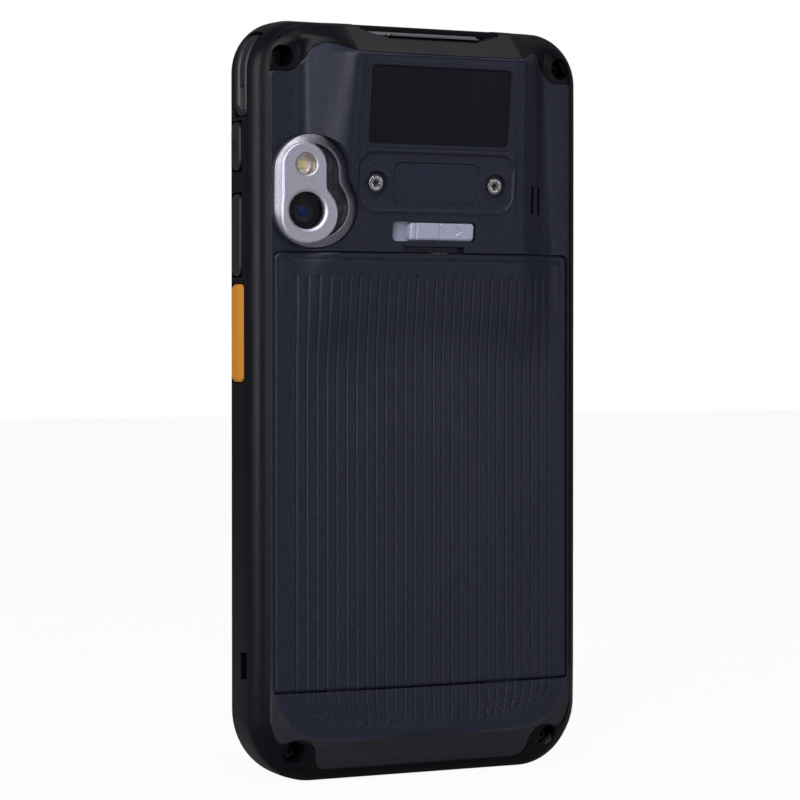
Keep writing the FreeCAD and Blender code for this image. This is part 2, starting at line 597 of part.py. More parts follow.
# Screws that close the case, and their threaded inserts.
screws = []
recesses = []
inserts = []
insert_bores = []
for side in (-1, 1):
    for end in ("low", "top"):
        name = "%s_%d" % (end, side)
        x = side * size("screw_%s_x" % end)
        z = "screw_%s_z" % end
        screws.append(rod("screw_head_" + name, x, "part_y", z, "screw_head", 1.1))
        screws.append(rod("screw_shank_" + name, x, "part_y + 1.0", z, "screw_shank", 6.4))
        recesses.append(rod("screw_recess_" + name, x, "part_y - 0.1", z, 0.8, 0.8))
        inserts.append(rod("insert_" + name, x, 2.32, z, 1.44, 3.9))
        insert_bores.append(rod("insert_bore_" + name, x, 2.0, z, "screw_shank + 0.02", 5.0))
node("case_screws", cut("case_screws_cut", fuse("screws", screws), recesses))
node("screw_inserts", cut("screw_inserts_cut", fuse("inserts", inserts), insert_bores))

# Scan window and the imager behind it, under the top cap.
node("scan_window", box("scan_window_pane", -11.0, -6.2, 152.6, 22.0, 6.7, 0.8, 0.8, "Z"))
imager = fuse("imager_parts", [box("imager_block", -10.5, -6.6, 137.2, 21.0, 8.6, 12.0, 0.6),
                               rod("imager_lens", 3.6, -2.4, 149.0, 2.2, 1.6, "Z")])
imager_cut = box("imager_aimer", -7.6, -4.4, 147.8, 6.4, 3.6, 2.0, 0.5)
node("scan_engine", cut("scan_engine_cut", imager, [imager_cut]))


# Side keys: a cap through the wall, a flange that holds it in, and a foot for its dome switch.
domes = []
for label, key, side in KEYS:
    rock = 0.35 if key == "volume" else 0.0
    low = side * (size("case_wide") / 2 + size("key_out"))
    inner = side * (size("case_wide") / 2 - size("side_wall") - 0.25)
    cap = box(label + "_cap", min(low, inner), key + "_y", key + "_low_z", abs(low - inner),
              key + "_deep", key + "_long")
    at = side * (36.0 - 0.15 - rock)
    flange = box(label + "_flange", min(at, at - side * 0.6), "%s_y + 0.2" % key, key + "_low_z - 0.55",
                 0.6, 8.5 - size(key + "_y"), key + "_long + 1.1")
    neck = box(label + "_neck", min(inner, at), key + "_y + 0.2", key + "_low_z + 0.3",
               abs(inner - at) + 0.05, 8.4 - size(key + "_y"), key + "_long - 0.6")
    middle = size(key + "_low_z") + size(key + "_long") / 2
    parts = [cap, flange] + ([neck] if abs(inner - at) > 0.05 else [])
    node(label, fuse(label + "_whole", parts))
    for shift in ((-6.2, 6.2) if key == "volume" else (0.0,)):
        start = -34.7 if side < 0 else 34.25
        domes.append(rod("%s_dome_%d" % (label, shift), start, 6.6, middle + shift, 1.3, 0.45, "X"))
node("key_domes", fuse("key_domes_all", domes))

# Port cover: a rubber flap over the socket, curved round the corner, with a plug inside it.
flap = flap_solid("flap", 1.2, 0.0)
plug = box("flap_plug", -37.5, 3.8, 137.9, 0.7, 2.8, 7.7)
nail = box("flap_nail", -40.0, 4.2, 136.0, 1.9, 2.2, 5.2)
flap_end_x = -size("case_wide") / 2 + size("top_corner_round") * (1 - math.cos(math.radians(45)))
end_trim = extrude("flap_end_trim", outline("flap_end_outline", [
    (flap_end_x - 3.0, FLAP_TOP + 3.0), (flap_end_x + 3.0, FLAP_TOP - 3.0), (-24.0, FLAP_TOP - 3.0),
    (-24.0, 165.0), (flap_end_x - 3.0, 165.0)], "XZ", 12.0), Vector(0, -1, 0), 14.0)
node("port_cover", cut("port_cover_cut", fuse("flap_whole", [flap, plug]), [nail, end_trim]))

doc.recompute()
for thing in doc.Objects:
    if "Invalid" in thing.State or "Error" in thing.State:
        raise RuntimeError("%s: %s" % (thing.Name, thing.State))
os.makedirs("parts", exist_ok=True)
for label, thing in nodes.items():
    shape = thing.Shape
    if shape.isNull() or not shape.isValid():
        raise RuntimeError("%s is not a good solid" % label)
    shape.exportStep("parts/%s.step" % label)
    edge = shape.BoundBox
    print("%-18s solids %d, %9.1f mm3, x %.2f %.2f, y %.2f %.2f, z %.2f %.2f" % (
        label, len(shape.Solids), shape.Volume, edge.XMin, edge.XMax, edge.YMin, edge.YMax,
        edge.ZMin, edge.ZMax))
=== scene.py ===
import math

import bmesh
import bpy
import numpy as np
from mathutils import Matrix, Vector


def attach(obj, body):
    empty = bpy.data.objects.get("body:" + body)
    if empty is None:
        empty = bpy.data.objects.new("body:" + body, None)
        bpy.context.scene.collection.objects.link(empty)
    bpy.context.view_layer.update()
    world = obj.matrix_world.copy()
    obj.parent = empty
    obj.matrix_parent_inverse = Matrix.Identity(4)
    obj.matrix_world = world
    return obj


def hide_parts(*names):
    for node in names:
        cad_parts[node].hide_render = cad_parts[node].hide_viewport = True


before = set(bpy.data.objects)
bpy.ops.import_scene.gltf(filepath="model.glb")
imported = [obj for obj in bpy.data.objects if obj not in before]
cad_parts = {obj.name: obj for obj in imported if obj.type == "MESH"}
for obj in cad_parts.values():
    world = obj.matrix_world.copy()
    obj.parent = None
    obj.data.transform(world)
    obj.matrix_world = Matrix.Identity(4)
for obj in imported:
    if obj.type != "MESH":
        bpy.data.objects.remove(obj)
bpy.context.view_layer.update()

# Frame: the black perimeter moulding, in a smooth satin PC/ABS. It carries the front rim, both flanks
# and the edge of the rear face, and its flanks have pockets for the keys and the port cover.
# Lengths are in millimetres and are turned into metres when a mesh is made.
HALF_WIDTH = 38.5
TALL = 157.0
MIDDLE_HEIGHT = 78.0
LOW_TURN = 13.7
TOP_TURN = 11.0
ARCH_RADIUS = 315.0
REAR_DEPTH = -4.25
SLOPE = 0.1175
SLOPE_START = 93.0
STATIONS = np.array([  # depth, half width, low end, high end, low and top corner radius of the outline there
    [3.0, 38.5, 0.15, 156.7, 13.7, 11.0], [1.6, 38.15, 0.3, 156.5, 13.6, 11.0],
    [0.0, 37.6, 1.7, 155.7, 13.0, 10.6], [-1.5, 36.8, 4.2, 154.6, 12.2, 10.0],
    [-2.4, 35.2, 6.2, 153.9, 11.8, 9.5], [-4.6, 31.0, 9.6, 151.6, 10.0, 8.5],
    [-8.0, 24.0, 15.0, 148.0, 7.0, 7.0]])


def round_box(x, z, half_x, half_z, radius, mid_x=0.0, mid_z=0.0):
    """Distance to a rounded rectangle: the corner's distance less its radius, negative inside."""
    qx = np.abs(x - mid_x) - half_x + radius
    qz = np.abs(z - mid_z) - half_z + radius
    return np.hypot(np.maximum(qx, 0), np.maximum(qz, 0)) + np.minimum(np.maximum(qx, qz), 0) - radius


def case_outline(x, z, half, low, high, radius, top_radius):
    """Distance to the case's outline at one depth; the two upper corners are tighter."""
    turn = np.where(z > MIDDLE_HEIGHT, top_radius, radius)
    return round_box(x, z, half, (high - low) / 2, turn, 0.0, (high + low) / 2)


def soft_max(a, b, width):
    """The larger of two heights, with the corner between them rounded over a width."""
    return (a + b + np.sqrt((a - b) ** 2 + width * width)) / 2


def falling_edge(x, z):
    """Depth at which the case's outline, shrinking towards the back, passes through each point:
    found by halving the span between the first and the last station."""
    shallow = np.full(x.shape, STATIONS[-1, 0])
    deep = np.full(x.shape, STATIONS[0, 0])
    for _ in range(22):
        middle = (shallow + deep) / 2
        at = [np.interp(-middle, -STATIONS[:, 0], STATIONS[:, k]) for k in range(1, 6)]
        inside = case_outline(x, z, *at) < 0
        deep = np.where(inside, middle, deep)
        shallow = np.where(inside, shallow, middle)
    return (shallow + deep) / 2


def eased(share):
    """A share from 0 to 1 that leaves and arrives gently: three squares less two cubes."""
    return share * share * (3 - 2 * share)


def rear_face(x, z):
    """Depth of the bare rear face: the arch and the falling edge, and over them the ramp with its
    cut-off top, mixed in across the width between a crease line and a foot line. A valley runs
    along the foot and a shallow dip along the crease."""
    arch = REAR_DEPTH + ARCH_RADIUS - np.sqrt(ARCH_RADIUS ** 2 - x * x)
    base = soft_max(arch, falling_edge(x, z), 0.35)
    run = z - SLOPE_START
    ramp = REAR_DEPTH - SLOPE * (run + np.sqrt(run * run + 64)) / 2
    top = soft_max(ramp, -11.0 + 1.07 * (z - 149.3), 0.5)
    crease = 18.9 + 0.043 * (149 - np.clip(z, 92, 149))
    foot = crease + 9.8
    share = np.clip((foot - np.abs(x)) / (foot - crease), 0, 1)
    share = (eased(share) * 0.65 + share * 0.35) * eased(np.clip((z - 84.0) / 14.0, 0, 1))
    reach = np.clip((z - 104) / 16, 0, 1) * np.clip((154 - z) / 5, 0, 1)
    valley = 0.5 * np.exp(-((np.abs(x) - 27.5) / 1.7) ** 2) * reach
    dip = 0.20 * np.exp(-((np.abs(x) - crease + 0.5) / 0.75) ** 2) * reach * np.clip((151 - z) / 2, 0, 1)
    return base * (1 - share) + np.maximum(top, -10.97) * share + valley + dip


def linear(colour):
    """An sRGB hex colour as linear RGBA."""
    parts = [int(colour[k:k + 2], 16) / 255 for k in (1, 3, 5)]
    return [c / 12.92 if c <= 0.04045 else ((c + 0.055) / 1.055) ** 2.4 for c in parts] + [1.0]


def add_node(tree, kind, settings, links):
    """Adds a shader node, or takes the one already there under that name, and sets its sockets
    and links, each found by name or number."""
    made = tree.nodes.get(kind) or tree.nodes.new(kind)
    for socket, value in settings.items():
        made.inputs[socket].default_value = value
    for socket, output in links.items():
        tree.links.new(output, made.inputs[socket])
    return made


def surface(name, dark, light, rough, grain, bump, metal=0.0, coat=0.0, shine=0.5, spread=0.12):
    """A procedural surface: two tones mixed by noise of a real grain size, a bump of the same
    grain and a roughness that wanders over 14 mm. Grain and bump are in millimetres."""
    made = bpy.data.materials.new(name)
    made.use_nodes = True
    tree = made.node_tree
    place = add_node(tree, "ShaderNodeTexCoord", {}, {}).outputs["Object"]
    noise = add_node(tree, "ShaderNodeTexNoise", {"Scale": 1000.0 / grain, "Detail": 2.0}, {"Vector": place})
    tones = add_node(tree, "ShaderNodeValToRGB", {}, {"Fac": noise.outputs["Fac"]})
    for element, position, colour in zip(tones.color_ramp.elements, (0.35, 0.70), (dark, light)):
        element.position = position
        element.color = linear(colour)
    broad = add_node(tree, "ShaderNodeTexNoise", {"Scale": 1000.0 / 14.0}, {"Vector": place})
    span = {"To Min": max(0.02, rough - spread / 2), "To Max": rough + spread / 2}
    wander = add_node(tree, "ShaderNodeMapRange", span, {"Value": broad.outputs["Fac"]})
    shader = add_node(tree, "Principled BSDF", {"Metallic": metal, "Specular IOR Level": shine,
                                                "Coat Weight": coat, "Coat Roughness": 0.15},
                      {"Base Color": tones.outputs["Color"], "Roughness": wander.outputs["Result"]})
    if bump:
        raised = add_node(tree, "ShaderNodeBump", {"Distance": bump / 1000.0, "Strength": 1.0},
                          {"Height": noise.outputs["Fac"]})
        tree.links.new(raised.outputs["Normal"], shader.inputs["Normal"])
    return made


def loop_stack(rings, closed=False):
    """Rings of equal length joined into a surface: each point to the next on its own ring and on the
    following one. A closed stack joins its last ring to its first, an open one gets a fan at each end."""
    places = np.vstack(rings)
    corner = np.arange(len(places)).reshape(len(rings), -1)
    low = corner if closed else corner[:-1]
    high = np.roll(corner, -1, axis=0)[:len(low)]
    quads = np.stack([low, np.roll(low, -1, 1), np.roll(high, -1, 1), high], -1).reshape(-1, 4)
    if closed:
        return places, quads
    middles = [places[corner[0]].mean(0), places[corner[-1]].mean(0)]
    fans = [(np.roll(corner[0], -1), corner[0]), (corner[-1], np.roll(corner[-1], -1))]
    faces = quads.tolist()
    for number, (first, second) in enumerate(fans):
        centre = np.full(len(first), len(places) + number)
        faces += np.column_stack([first, second, centre]).tolist()
    return np.vstack([places, middles]), faces


def grid_cells(shape):
    """The four corners of each cell of a grid of points, numbered row by row."""
    corner = np.arange(shape[0] * shape[1]).reshape(shape)
    return np.stack([corner[:-1, :-1], corner[1:, :-1], corner[1:, 1:], corner[:-1, 1:]], -1).reshape(-1, 4)


def open_sides(quads, count):
    """The sides that only one face of a patch has, each in that face's own direction."""
    sides = np.concatenate([quads[:, [k, (k + 1) % 4]] for k in range(4)])
    ordered = np.sort(sides, 1)
    _, first, times = np.unique(ordered[:, 0] * count + ordered[:, 1], return_index=True, return_counts=True)
    return sides[first[times == 1]]


def only_used(places, faces):
    """The same surface without the points that no face has."""
    used = np.unique(faces)
    fresh = np.full(len(places), -1)
    fresh[used] = np.arange(used.size)
    return places[used], fresh[faces]


def piece(name, places, faces, material, body, stands_for=(), slot=None, angle=32, recalc=True):
    """Makes a mesh object of millimetre points, shades it smooth up to an angle and lets it ride."""
    mesh = bpy.data.meshes.new(name)
    mesh.from_pydata((np.asarray(places) / 1000.0).tolist(), [], [list(map(int, face)) for face in faces])
    if recalc:
        work = bmesh.new()
        work.from_mesh(mesh)
        bmesh.ops.recalc_face_normals(work, faces=work.faces)
        work.to_mesh(mesh)
        work.free()
    mesh.validate()
    mesh.shade_smooth()
    mesh.set_sharp_from_angle(angle=math.radians(angle))
    made = bpy.data.objects.new(name, mesh)
    bpy.context.scene.collection.objects.link(made)
    made.data.materials.append(material)
    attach(made, body)
    if stands_for:
        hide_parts(*stands_for)
    return made


# Satin black PC/ABS from a fine-eroded mould: almost all that the eye gets is its soft reflection.
frame_black = surface("frame_black", "#08090e", "#0e0f16", 0.34, 0.4, 0.006, shine=0.16)
LEVELS = [  # inset and depth of the closed section, walked from the rear edge round the front; a lip has
    # its share of the way to the outer path and its rise
    ("edge", 0, 0), ("lip", 0.36, 0.17), ("lip", 0.76, 0.55), ("at", 0.35, 1.6), ("at", 0.10, 2.6),
    ("at", 0.08, 2.8), ("at", 0.02, 3.9), ("at", 0.0, 4.7), ("at", 0.0, 5.5), ("at", 0.0, 8.0),
    ("at", 0.0, 9.4), ("at", 0.0, 9.8), ("at", 0.04, 10.05), ("at", 0.25, 10.4), ("at", 0.6, 10.62),
    ("at", 1.1, 10.7), ("at", 2.6, 10.7), ("at", 2.65, 10.6), ("at", 2.65, 10.0), ("at", 3.8, 10.0),
    ("at", 3.8, 8.9), ("at", 2.6, 8.9), ("at", 2.6, -0.6), ("back", 0, 0)]
FLANK_LINES = [21.6, 27.1, 28.7, 55.0, 82.3, 102.8, 103.9, 121.4, 125.6, 136.1, 136.8]
THROAT_LINES = [-0.613, -0.60, 0.60, 0.613]


def outline_path(half, low, high, radius, top):
    """Points round the outline: up the right side, over the top, down the left and along the bottom.
    Straight stretches have a point at each pocket's end, and corners are arcs in steps of 5 degrees."""
    turns = np.radians(np.arange(0, 91, 5.0))
    across = np.sort(np.append(np.linspace(-1, 1, 41), THROAT_LINES))[::-1]
    up = np.array([low + radius] + FLANK_LINES + [high - top])
    sine, cosine = np.sin(turns[1:]), np.cos(turns[1:])
    runs = [(np.full(len(up), half), up),
            (half - top + top * cosine, high - top + top * sine),
            (across[1:] * (half - top), np.full(len(across) - 1, high)),
            (top - half - top * sine, high - top + top * cosine),
            (np.full(len(up) - 1, -half), up[::-1][1:]),
            (radius - half - radius * cosine, low + radius - radius * sine),
            (-across[1:] * (half - radius), np.full(len(across) - 1, low)),
            (half - radius + radius * sine[:-1], low + radius - radius * cosine[:-1])]
    return np.vstack([np.column_stack(run) for run in runs])


EDGE = (35.4, 2.3, 155.3, 10.6, 8.2)
edge_path = outline_path(*EDGE)
edge_depth = rear_face(edge_path[:, 0] * 0.9995, edge_path[:, 1])
over_throat = (np.abs(edge_path[:, 0]) < 16.5) & (edge_path[:, 1] > 150)
edge_depth = np.where(over_throat, 1.0, edge_depth)
outer_path = outline_path(38.15, 0.3, 156.5, LOW_TURN, TOP_TURN)
rings = []
for kind, inset, depth in LEVELS:
    if kind == "at":
        outside = inset < 2.0
        rounding = max(inset, 0.14 * (5.9 - depth)) if depth > 0 and outside else inset
        turn = LOW_TURN + 0.16 * max(depth - 1.6, 0)
        path = outline_path(HALF_WIDTH - inset, rounding * (0.45 if outside else 1), TALL - rounding,
                            turn - inset, TOP_TURN - inset)
        y = np.full(len(path), depth)
    elif kind == "edge":
        path, y = edge_path, edge_depth
    elif kind == "lip":
        path = edge_path * (1 - inset) + outer_path * inset
        y = edge_depth + depth * (1.6 - edge_depth)
    else:
        path, y = outline_path(34.8, 3.8, 153.9, 10.2, 7.8), np.maximum(edge_depth + 1.0, -0.6)
    rings.append(np.column_stack([path[:, 0], y, path[:, 1]]))
places, faces = loop_stack(rings, closed=True)


def sink(places, faces, chosen, shift):
    """Pushes a patch of faces in and closes the wall round it."""
    patch = faces[chosen]
    border = open_sides(patch, len(places))
    used = np.unique(patch)
    fresh = np.full(len(places), -1)
    fresh[used] = len(places) + np.arange(used.size)
    walls = np.stack([border[:, 0], border[:, 1], fresh[border[:, 1]], fresh[border[:, 0]]], 1)
    faces = faces.copy()
    faces[chosen] = fresh[patch]
    return np.vstack([places, shift(places[used])]), np.vstack([faces, walls])


def flank_patch(places, faces, side, low, high, near, far):
    """Which faces of the flank lie in a window of height and depth."""
    middle = places[faces].mean(1)
    skin = case_outline(middle[:, 0], middle[:, 2], HALF_WIDTH, 0, TALL, 14.0, TOP_TURN) > -0.8
    return (skin & (middle[:, 0] * side > 24.0) & (middle[:, 2] > low) & (middle[:, 2] < high)
            & (middle[:, 1] > near) & (middle[:, 1] < far))


POCKET_DEEP = 2.3
POCKETS = [  # side, low and high end, near and far depth: scan keys, volume rocker, power key, lanyard slot
    (-1, 82.3, 102.8, 3.9, 9.8), (1, 82.3, 102.8, 3.9, 9.8), (-1, 103.9, 121.4, 4.7, 9.4),
    (-1, 125.6, 136.1, 4.7, 9.4), (-1, 21.6, 27.1, 2.8, 5.5)]
for side, *window in POCKETS:
    chosen = flank_patch(places, faces, side, *window)
    into = np.array([side * POCKET_DEEP, 0, 0])
    places, faces = sink(places, faces, chosen, lambda p, into=into: p - into)
FLAP_THICK = 1.3


def inward(p):
    """Moves points towards the corner's centre, as deep as the port cover is thick."""
    centre = np.column_stack([np.full(len(p), TOP_TURN - HALF_WIDTH), p[:, 1],
                              np.minimum(p[:, 2], TALL - TOP_TURN)])
    way = centre - p
    return p + way / np.linalg.norm(way, axis=1)[:, None] * FLAP_THICK


chosen = flank_patch(places, faces, -1, 136.8, 154.1, 2.6, 8.0)
places, faces = sink(places, faces, chosen, inward)
piece("frame_band", places, faces, frame_black, "case", ["side_frame"], "frame_black", 28)

# Frame corners: the same black moulding wraps over the rear face at its two ends, round the four
# screw recesses, and forms the cap with the scan window's pocket in the top end.
SCREWS = [(-32.6, 148.9), (32.6, 148.9), (-29.9, 6.7), (29.9, 6.7)]
HALF_TOP_LINE = [(-45, 144.2), (-36.6, 144.2), (-35.7, 145.6), (-34.0, 146.1), (-32.2, 145.8),
                 (-30.4, 146.0), (-29.0, 147.3), (-27.9, 148.8), (-27.0, 150.3), (-25.8, 151.5),
                 (-24.0, 152.0), (-22.0, 151.2), (-20.2, 150.3), (-18.3, 149.9), (-16.0, 149.8)]
HALF_LOW_LINE = [(-45, 20.8), (-37.2, 20.6), (-36.4, 16.8), (-35.2, 12.2), (-33.7, 8.8), (-32.2, 8.3),
                 (-30.0, 9.2), (-27.0, 8.9), (-25.5, 7.3), (-25.2, 5.4), (-24.6, 3.4), (-22.8, 2.3),
                 (-20.0, 1.85), (-16.0, 1.75)]


def smooth_line(half):
    """Half a line and its mirror image, with each corner cut twice at a quarter and three quarters."""
    line = np.array(half + [(-x, z) for x, z in reversed(half)], float)
    for _ in range(2):
        early = line[:-1] * 0.75 + line[1:] * 0.25
        late = line[:-1] * 0.25 + line[1:] * 0.75
        line = np.vstack([line[:1], np.stack([early, late], 1).reshape(-1, 2), line[-1:]])
    return line


def beyond_line(x, z, line):
    """Signed distance to a line of points; positive on its left as it is walked."""
    best = np.full(x.shape, 1e9)
    sign = np.ones(x.shape)
    for (ax, az), (bx, bz) in zip(line[:-1], line[1:]):
        run_x, run_z = bx - ax, bz - az
        share = np.clip(((x - ax) * run_x + (z - az) * run_z) / (run_x ** 2 + run_z ** 2), 0, 1)
        off_x, off_z = x - ax - share * run_x, z - az - share * run_z
        far = np.hypot(off_x, off_z)
        side = np.sign(run_x * off_z - run_z * off_x)
        nearer = far < best - 1e-9
        best = np.where(nearer, far, best)
        sign = np.where(nearer & (side != 0), side, sign)
    return best * sign


TOP_LINE = smooth_line(HALF_TOP_LINE)
LOW_LINE = smooth_line(HALF_LOW_LINE)


def in_top_zone(x, z):
    """Distance into the region above the line between housing and frame: negative inside."""
    return -beyond_line(x, z, TOP_LINE)


def in_low_zone(x, z):
    """Distance into the region below the lower line between housing and frame: negative inside."""
    return beyond_line(x, z, LOW_LINE)


def in_edge(x, z):
    """Distance to the line where the rear face meets the frame's band."""
    return case_outline(x, z, *EDGE)


def scan_pocket(x, z):
    """Distance to the pocket over the scan window, a trapezoid that widens towards the top end."""
    half = np.minimum(12.0 + 3.0 * (z - 153.4), 16.3 + 0.1 * (z - 154.8))
    return np.maximum((np.abs(x) - half) / np.where(z < 154.85, 3.2, 1.0), 153.4 - z)


def frame_height(x, z):
    """The rear face with the screw recesses and the scan window's pocket let into it. The pocket's
    far wall leans back in its middle."""
    y = rear_face(x, z)
    for sx, sz in SCREWS:
        y = np.where(np.hypot(x - sx, z - sz) < 2.2, np.maximum(y, 2.0), y)
    leaning = np.interp(z, [153.4, 154.2, 155.15, 155.25], [-0.6, -0.6, 0.45, 1.0])
    far_wall = np.where(np.abs(x) < 13.8, leaning, 1.0)
    return np.where(scan_pocket(x, z) < -0.03, np.maximum(y, far_wall), y)


def relief(xs, zs, height, keep, snaps, skirt, cell):
    """A surface over a grid of x and z, whose depth is the height function. Grid points near an edge
    line are moved onto it along its slope, and the open border is turned in by a skirt."""
    x, z = np.meshgrid(xs, zs, indexing="ij")
    step = 0.01
    for edge in snaps:
        far = edge(x, z)
        slope_x = (edge(x + step, z) - edge(x - step, z)) / (2 * step)
        slope_z = (edge(x, z + step) - edge(x, z - step)) / (2 * step)
        near = np.abs(far) < 0.55 * cell
        x = np.where(near, x - far * slope_x, x)
        z = np.where(near, z - far * slope_z, z)
    quads = grid_cells(x.shape)
    places = np.stack([x.ravel(), height(x, z).ravel(), z.ravel()], 1)
    middle = places[quads].mean(1)
    quads = quads[keep(middle[:, 0], middle[:, 2])]
    border = open_sides(quads, len(places))
    rim = np.unique(border)
    lower = np.full(len(places), -1)
    lower[rim] = len(places) + np.arange(rim.size)
    walls = np.stack([border[:, 1], border[:, 0], lower[border[:, 0]], lower[border[:, 1]]], 1)
    turned_in = places[rim] + np.array([0.0, skirt, 0.0])
    return only_used(np.vstack([places, turned_in]), np.vstack([quads, walls]))


def in_corners(x, z):
    """Which points of the rear face belong to the frame."""
    return (in_edge(x, z) < -0.01) & ((in_top_zone(x, z) < 0) | ((in_low_zone(x, z) < 0) & (z < 24)))


CELL = 0.2205
columns = np.arange(-172, 173) * CELL
screw_edges = [(lambda x, z, at=at: np.hypot(x - at[0], z - at[1]) - 2.25) for at in SCREWS]
corner_snaps = [in_edge, in_top_zone, in_low_zone] + screw_edges + [scan_pocket]
for name, rows in (("frame_cap", np.arange(143.8, 155.9, 0.22)), ("frame_foot", np.arange(1.4, 21.2, 0.25))):
    corners = relief(columns, rows, frame_height, in_corners, corner_snaps, 1.2, 0.22)
    piece(name, *corners, frame_black, "case", (), "frame_black", 30, recalc=False)

# Rear housing: the moulded back, dark blue-grey PC/ABS with a spark-eroded grain. It holds the
# battery bay and has seats for the plates, studs, latch, speaker slots and the camera surround.
GROOVE_PITCH = 10 * CELL
HALF_RIM_LINE = [(-45, 21.6), (-36.0, 21.3), (-34.6, 19.4), (-34.0, 16.5), (-32.75, 14.0), (-31.0, 11.7),
                 (-28.5, 9.9), (-25.5, 8.9), (-21.9, 8.5), (-16.0, 8.6)]
RIM_LINE = smooth_line(HALF_RIM_LINE)


def pill_and_disc(x, z, upper, lower):
    """Distance to an upright pill under the upper disc, joined to the lower disc by a smooth minimum;
    each disc is an x, a z and a radius."""
    foot = lower[1] - lower[2] + upper[2]
    along = np.clip(z, foot, upper[1])
    pill = np.hypot(x - upper[0], z - along) - upper[2]
    disc = np.hypot(x - lower[0], z - lower[1]) - lower[2]
    gap = pill - disc
    return (pill + disc - np.sqrt(gap * gap + 0.25)) / 2 + 0.06


def keyhole(x, z, grow=0.0):
    """Distance to the camera surround, brought in or out by an amount."""
    return pill_and_disc(x, z, (-27.6, 125.4, 7.7 + grow), (-26.1, 118.2, 8.2 + grow))


def groove_depth(x, z):
    """V grooves at an even pitch, 0.6 mm wide; in the chin they lean in towards the middle."""
    lean = np.clip(19.2 - z, 0, 12)
    along = x * (1 + 0.0024 * lean ** 2 * (np.abs(x) / 30) ** 2)
    turns = along / GROOVE_PITCH
    off_centre = np.abs(turns - np.round(turns - 0.5) - 0.5) * GROOVE_PITCH
    valley = np.clip(1 - off_centre / 0.30, 0, 1) * 0.27
    foot = 11.2 + 7.5 * np.clip(np.abs(x) / 29.8 - 0.45, 0, 1) ** 1.6 * 1.4
    ends = np.clip((104.6 - z) / 0.4, 0, 1) * np.clip((z - foot) / 0.4, 0, 1)
    return valley * (np.abs(along) < 30.4) * ends


def plate_seat(x, z):
    """Distance to the seat of the large plate."""
    return round_box(x, z, 16.35, 7.95, 0.9, 0, 139.2)


def recess(x, z):
    """Distance to the accessory recess round the small plate and the studs."""
    return round_box(x, z, 18.3, 6.1, 3.6, 0, 123.7)


def small_seat(x, z):
    """Distance to the seat of the small plate."""
    return round_box(x, z, 9.95, 4.3, 1.8, 0, 123.4)


STUD_SIDE, STUD_HEIGHT = 13.9, 123.2


def stud_seat(x, z):
    """Distance to the nearer of the two stud seats."""
    return np.hypot(np.abs(x) - STUD_SIDE, z - STUD_HEIGHT) - 2.5


def latch_slot(x, z):
    """Distance to the latch slot."""
    return round_box(x, z, 9.7, 2.05, 0.9, 0, 113.55)


def notch(x, z):
    """Distance to the fingernail notch over the door's top edge."""
    return round_box(x, z, 7.3, 1.1, 0.3, 0, 109.4)


def at_speaker(x, z, half_x, half_z, radius, mid_z):
    """Distance to the nearer of two round boxes, one at each speaker slot."""
    return np.minimum(round_box(x, z, half_x, half_z, radius, 24.0, mid_z),
                      round_box(x, z, half_x, half_z, radius, 26.6, mid_z))


def speaker_slot(x, z):
    """Distance to the nearer of the two speaker slots."""
    return at_speaker(x, z, 0.48, 3.0, 0.45, 120.55)


def door_hole(x, z):
    """Distance to the door's opening: square at the bottom, rounded at the top."""
    return np.where(z > 60, round_box(x, z, 34.65, 45.1, 1.6, 0, 64.2),
                    round_box(x, z, 34.65, 45.25, 0.2, 0, 64.15))


def in_chin(x, z):
    """Distance into the chamfer below the rim line of the chin: negative inside."""
    return beyond_line(x, z, RIM_LINE)


def ridge(distance, width):
    """A bell of height 1 along the line where a distance is nought."""
    return np.exp(-(distance / width) ** 2)


def housing_height(x, z):
    """The rear face with its grooves, a thin ridge along each rim, the seam's dropped edge and each
    seat dropped behind its rim."""
    y = rear_face(x, z) + np.where(z < 19.5, groove_depth(x, z), 0)
    y = y - np.where(z < 24, 0.16 * ridge(in_chin(x, z), 0.30), 0)
    y = y + 0.28 * np.clip(-recess(x, z) / 0.45, 0, 1) - 0.12 * ridge(recess(x, z), 0.35)
    y = y - 0.10 * ridge(plate_seat(x, z) - 0.35, 0.35)
    y = y + 0.20 * np.clip(-at_speaker(x, z, 0.85, 4.6, 0.8, 121.6) / 0.3, 0, 1)
    y = y - 0.09 * ridge(stud_seat(x, z) - 0.25, 0.22)
    seam = np.minimum(-in_edge(x, z), in_top_zone(x, z) - 0.04)
    seam = np.minimum(seam, np.where(z < 24, in_low_zone(x, z) - 0.04, 9.0))
    y = y + 0.22 * np.clip(1 - seam / 0.28, 0, 1)
    for edge, drop in ((plate_seat, 0.75), (small_seat, 0.45), (stud_seat, 0.65), (latch_slot, 2.4),
                       (notch, 1.5), (speaker_slot, 3.2)):
        y = y + np.where(edge(x, z) < -0.04, drop, 0)
    return np.where(keyhole(x, z, 0.15) < -0.04, np.maximum(y, -3.6), y)


def on_housing(x, z):
    """Which points of the rear face belong to the housing, the chin included."""
    return ((in_edge(x, z) < -0.01) & (in_top_zone(x, z) > 0.03) & ((in_low_zone(x, z) > 0.03) | (z > 24))
            & (door_hole(x, z) > 0))


# Grained PC/ABS: speckled by its erosion texture, a soft blue-grey sheen where it faces a light.
housing_grey = surface("housing_grey", "#191b29", "#2b2e41", 0.38, 0.28, 0.024, shine=0.28)
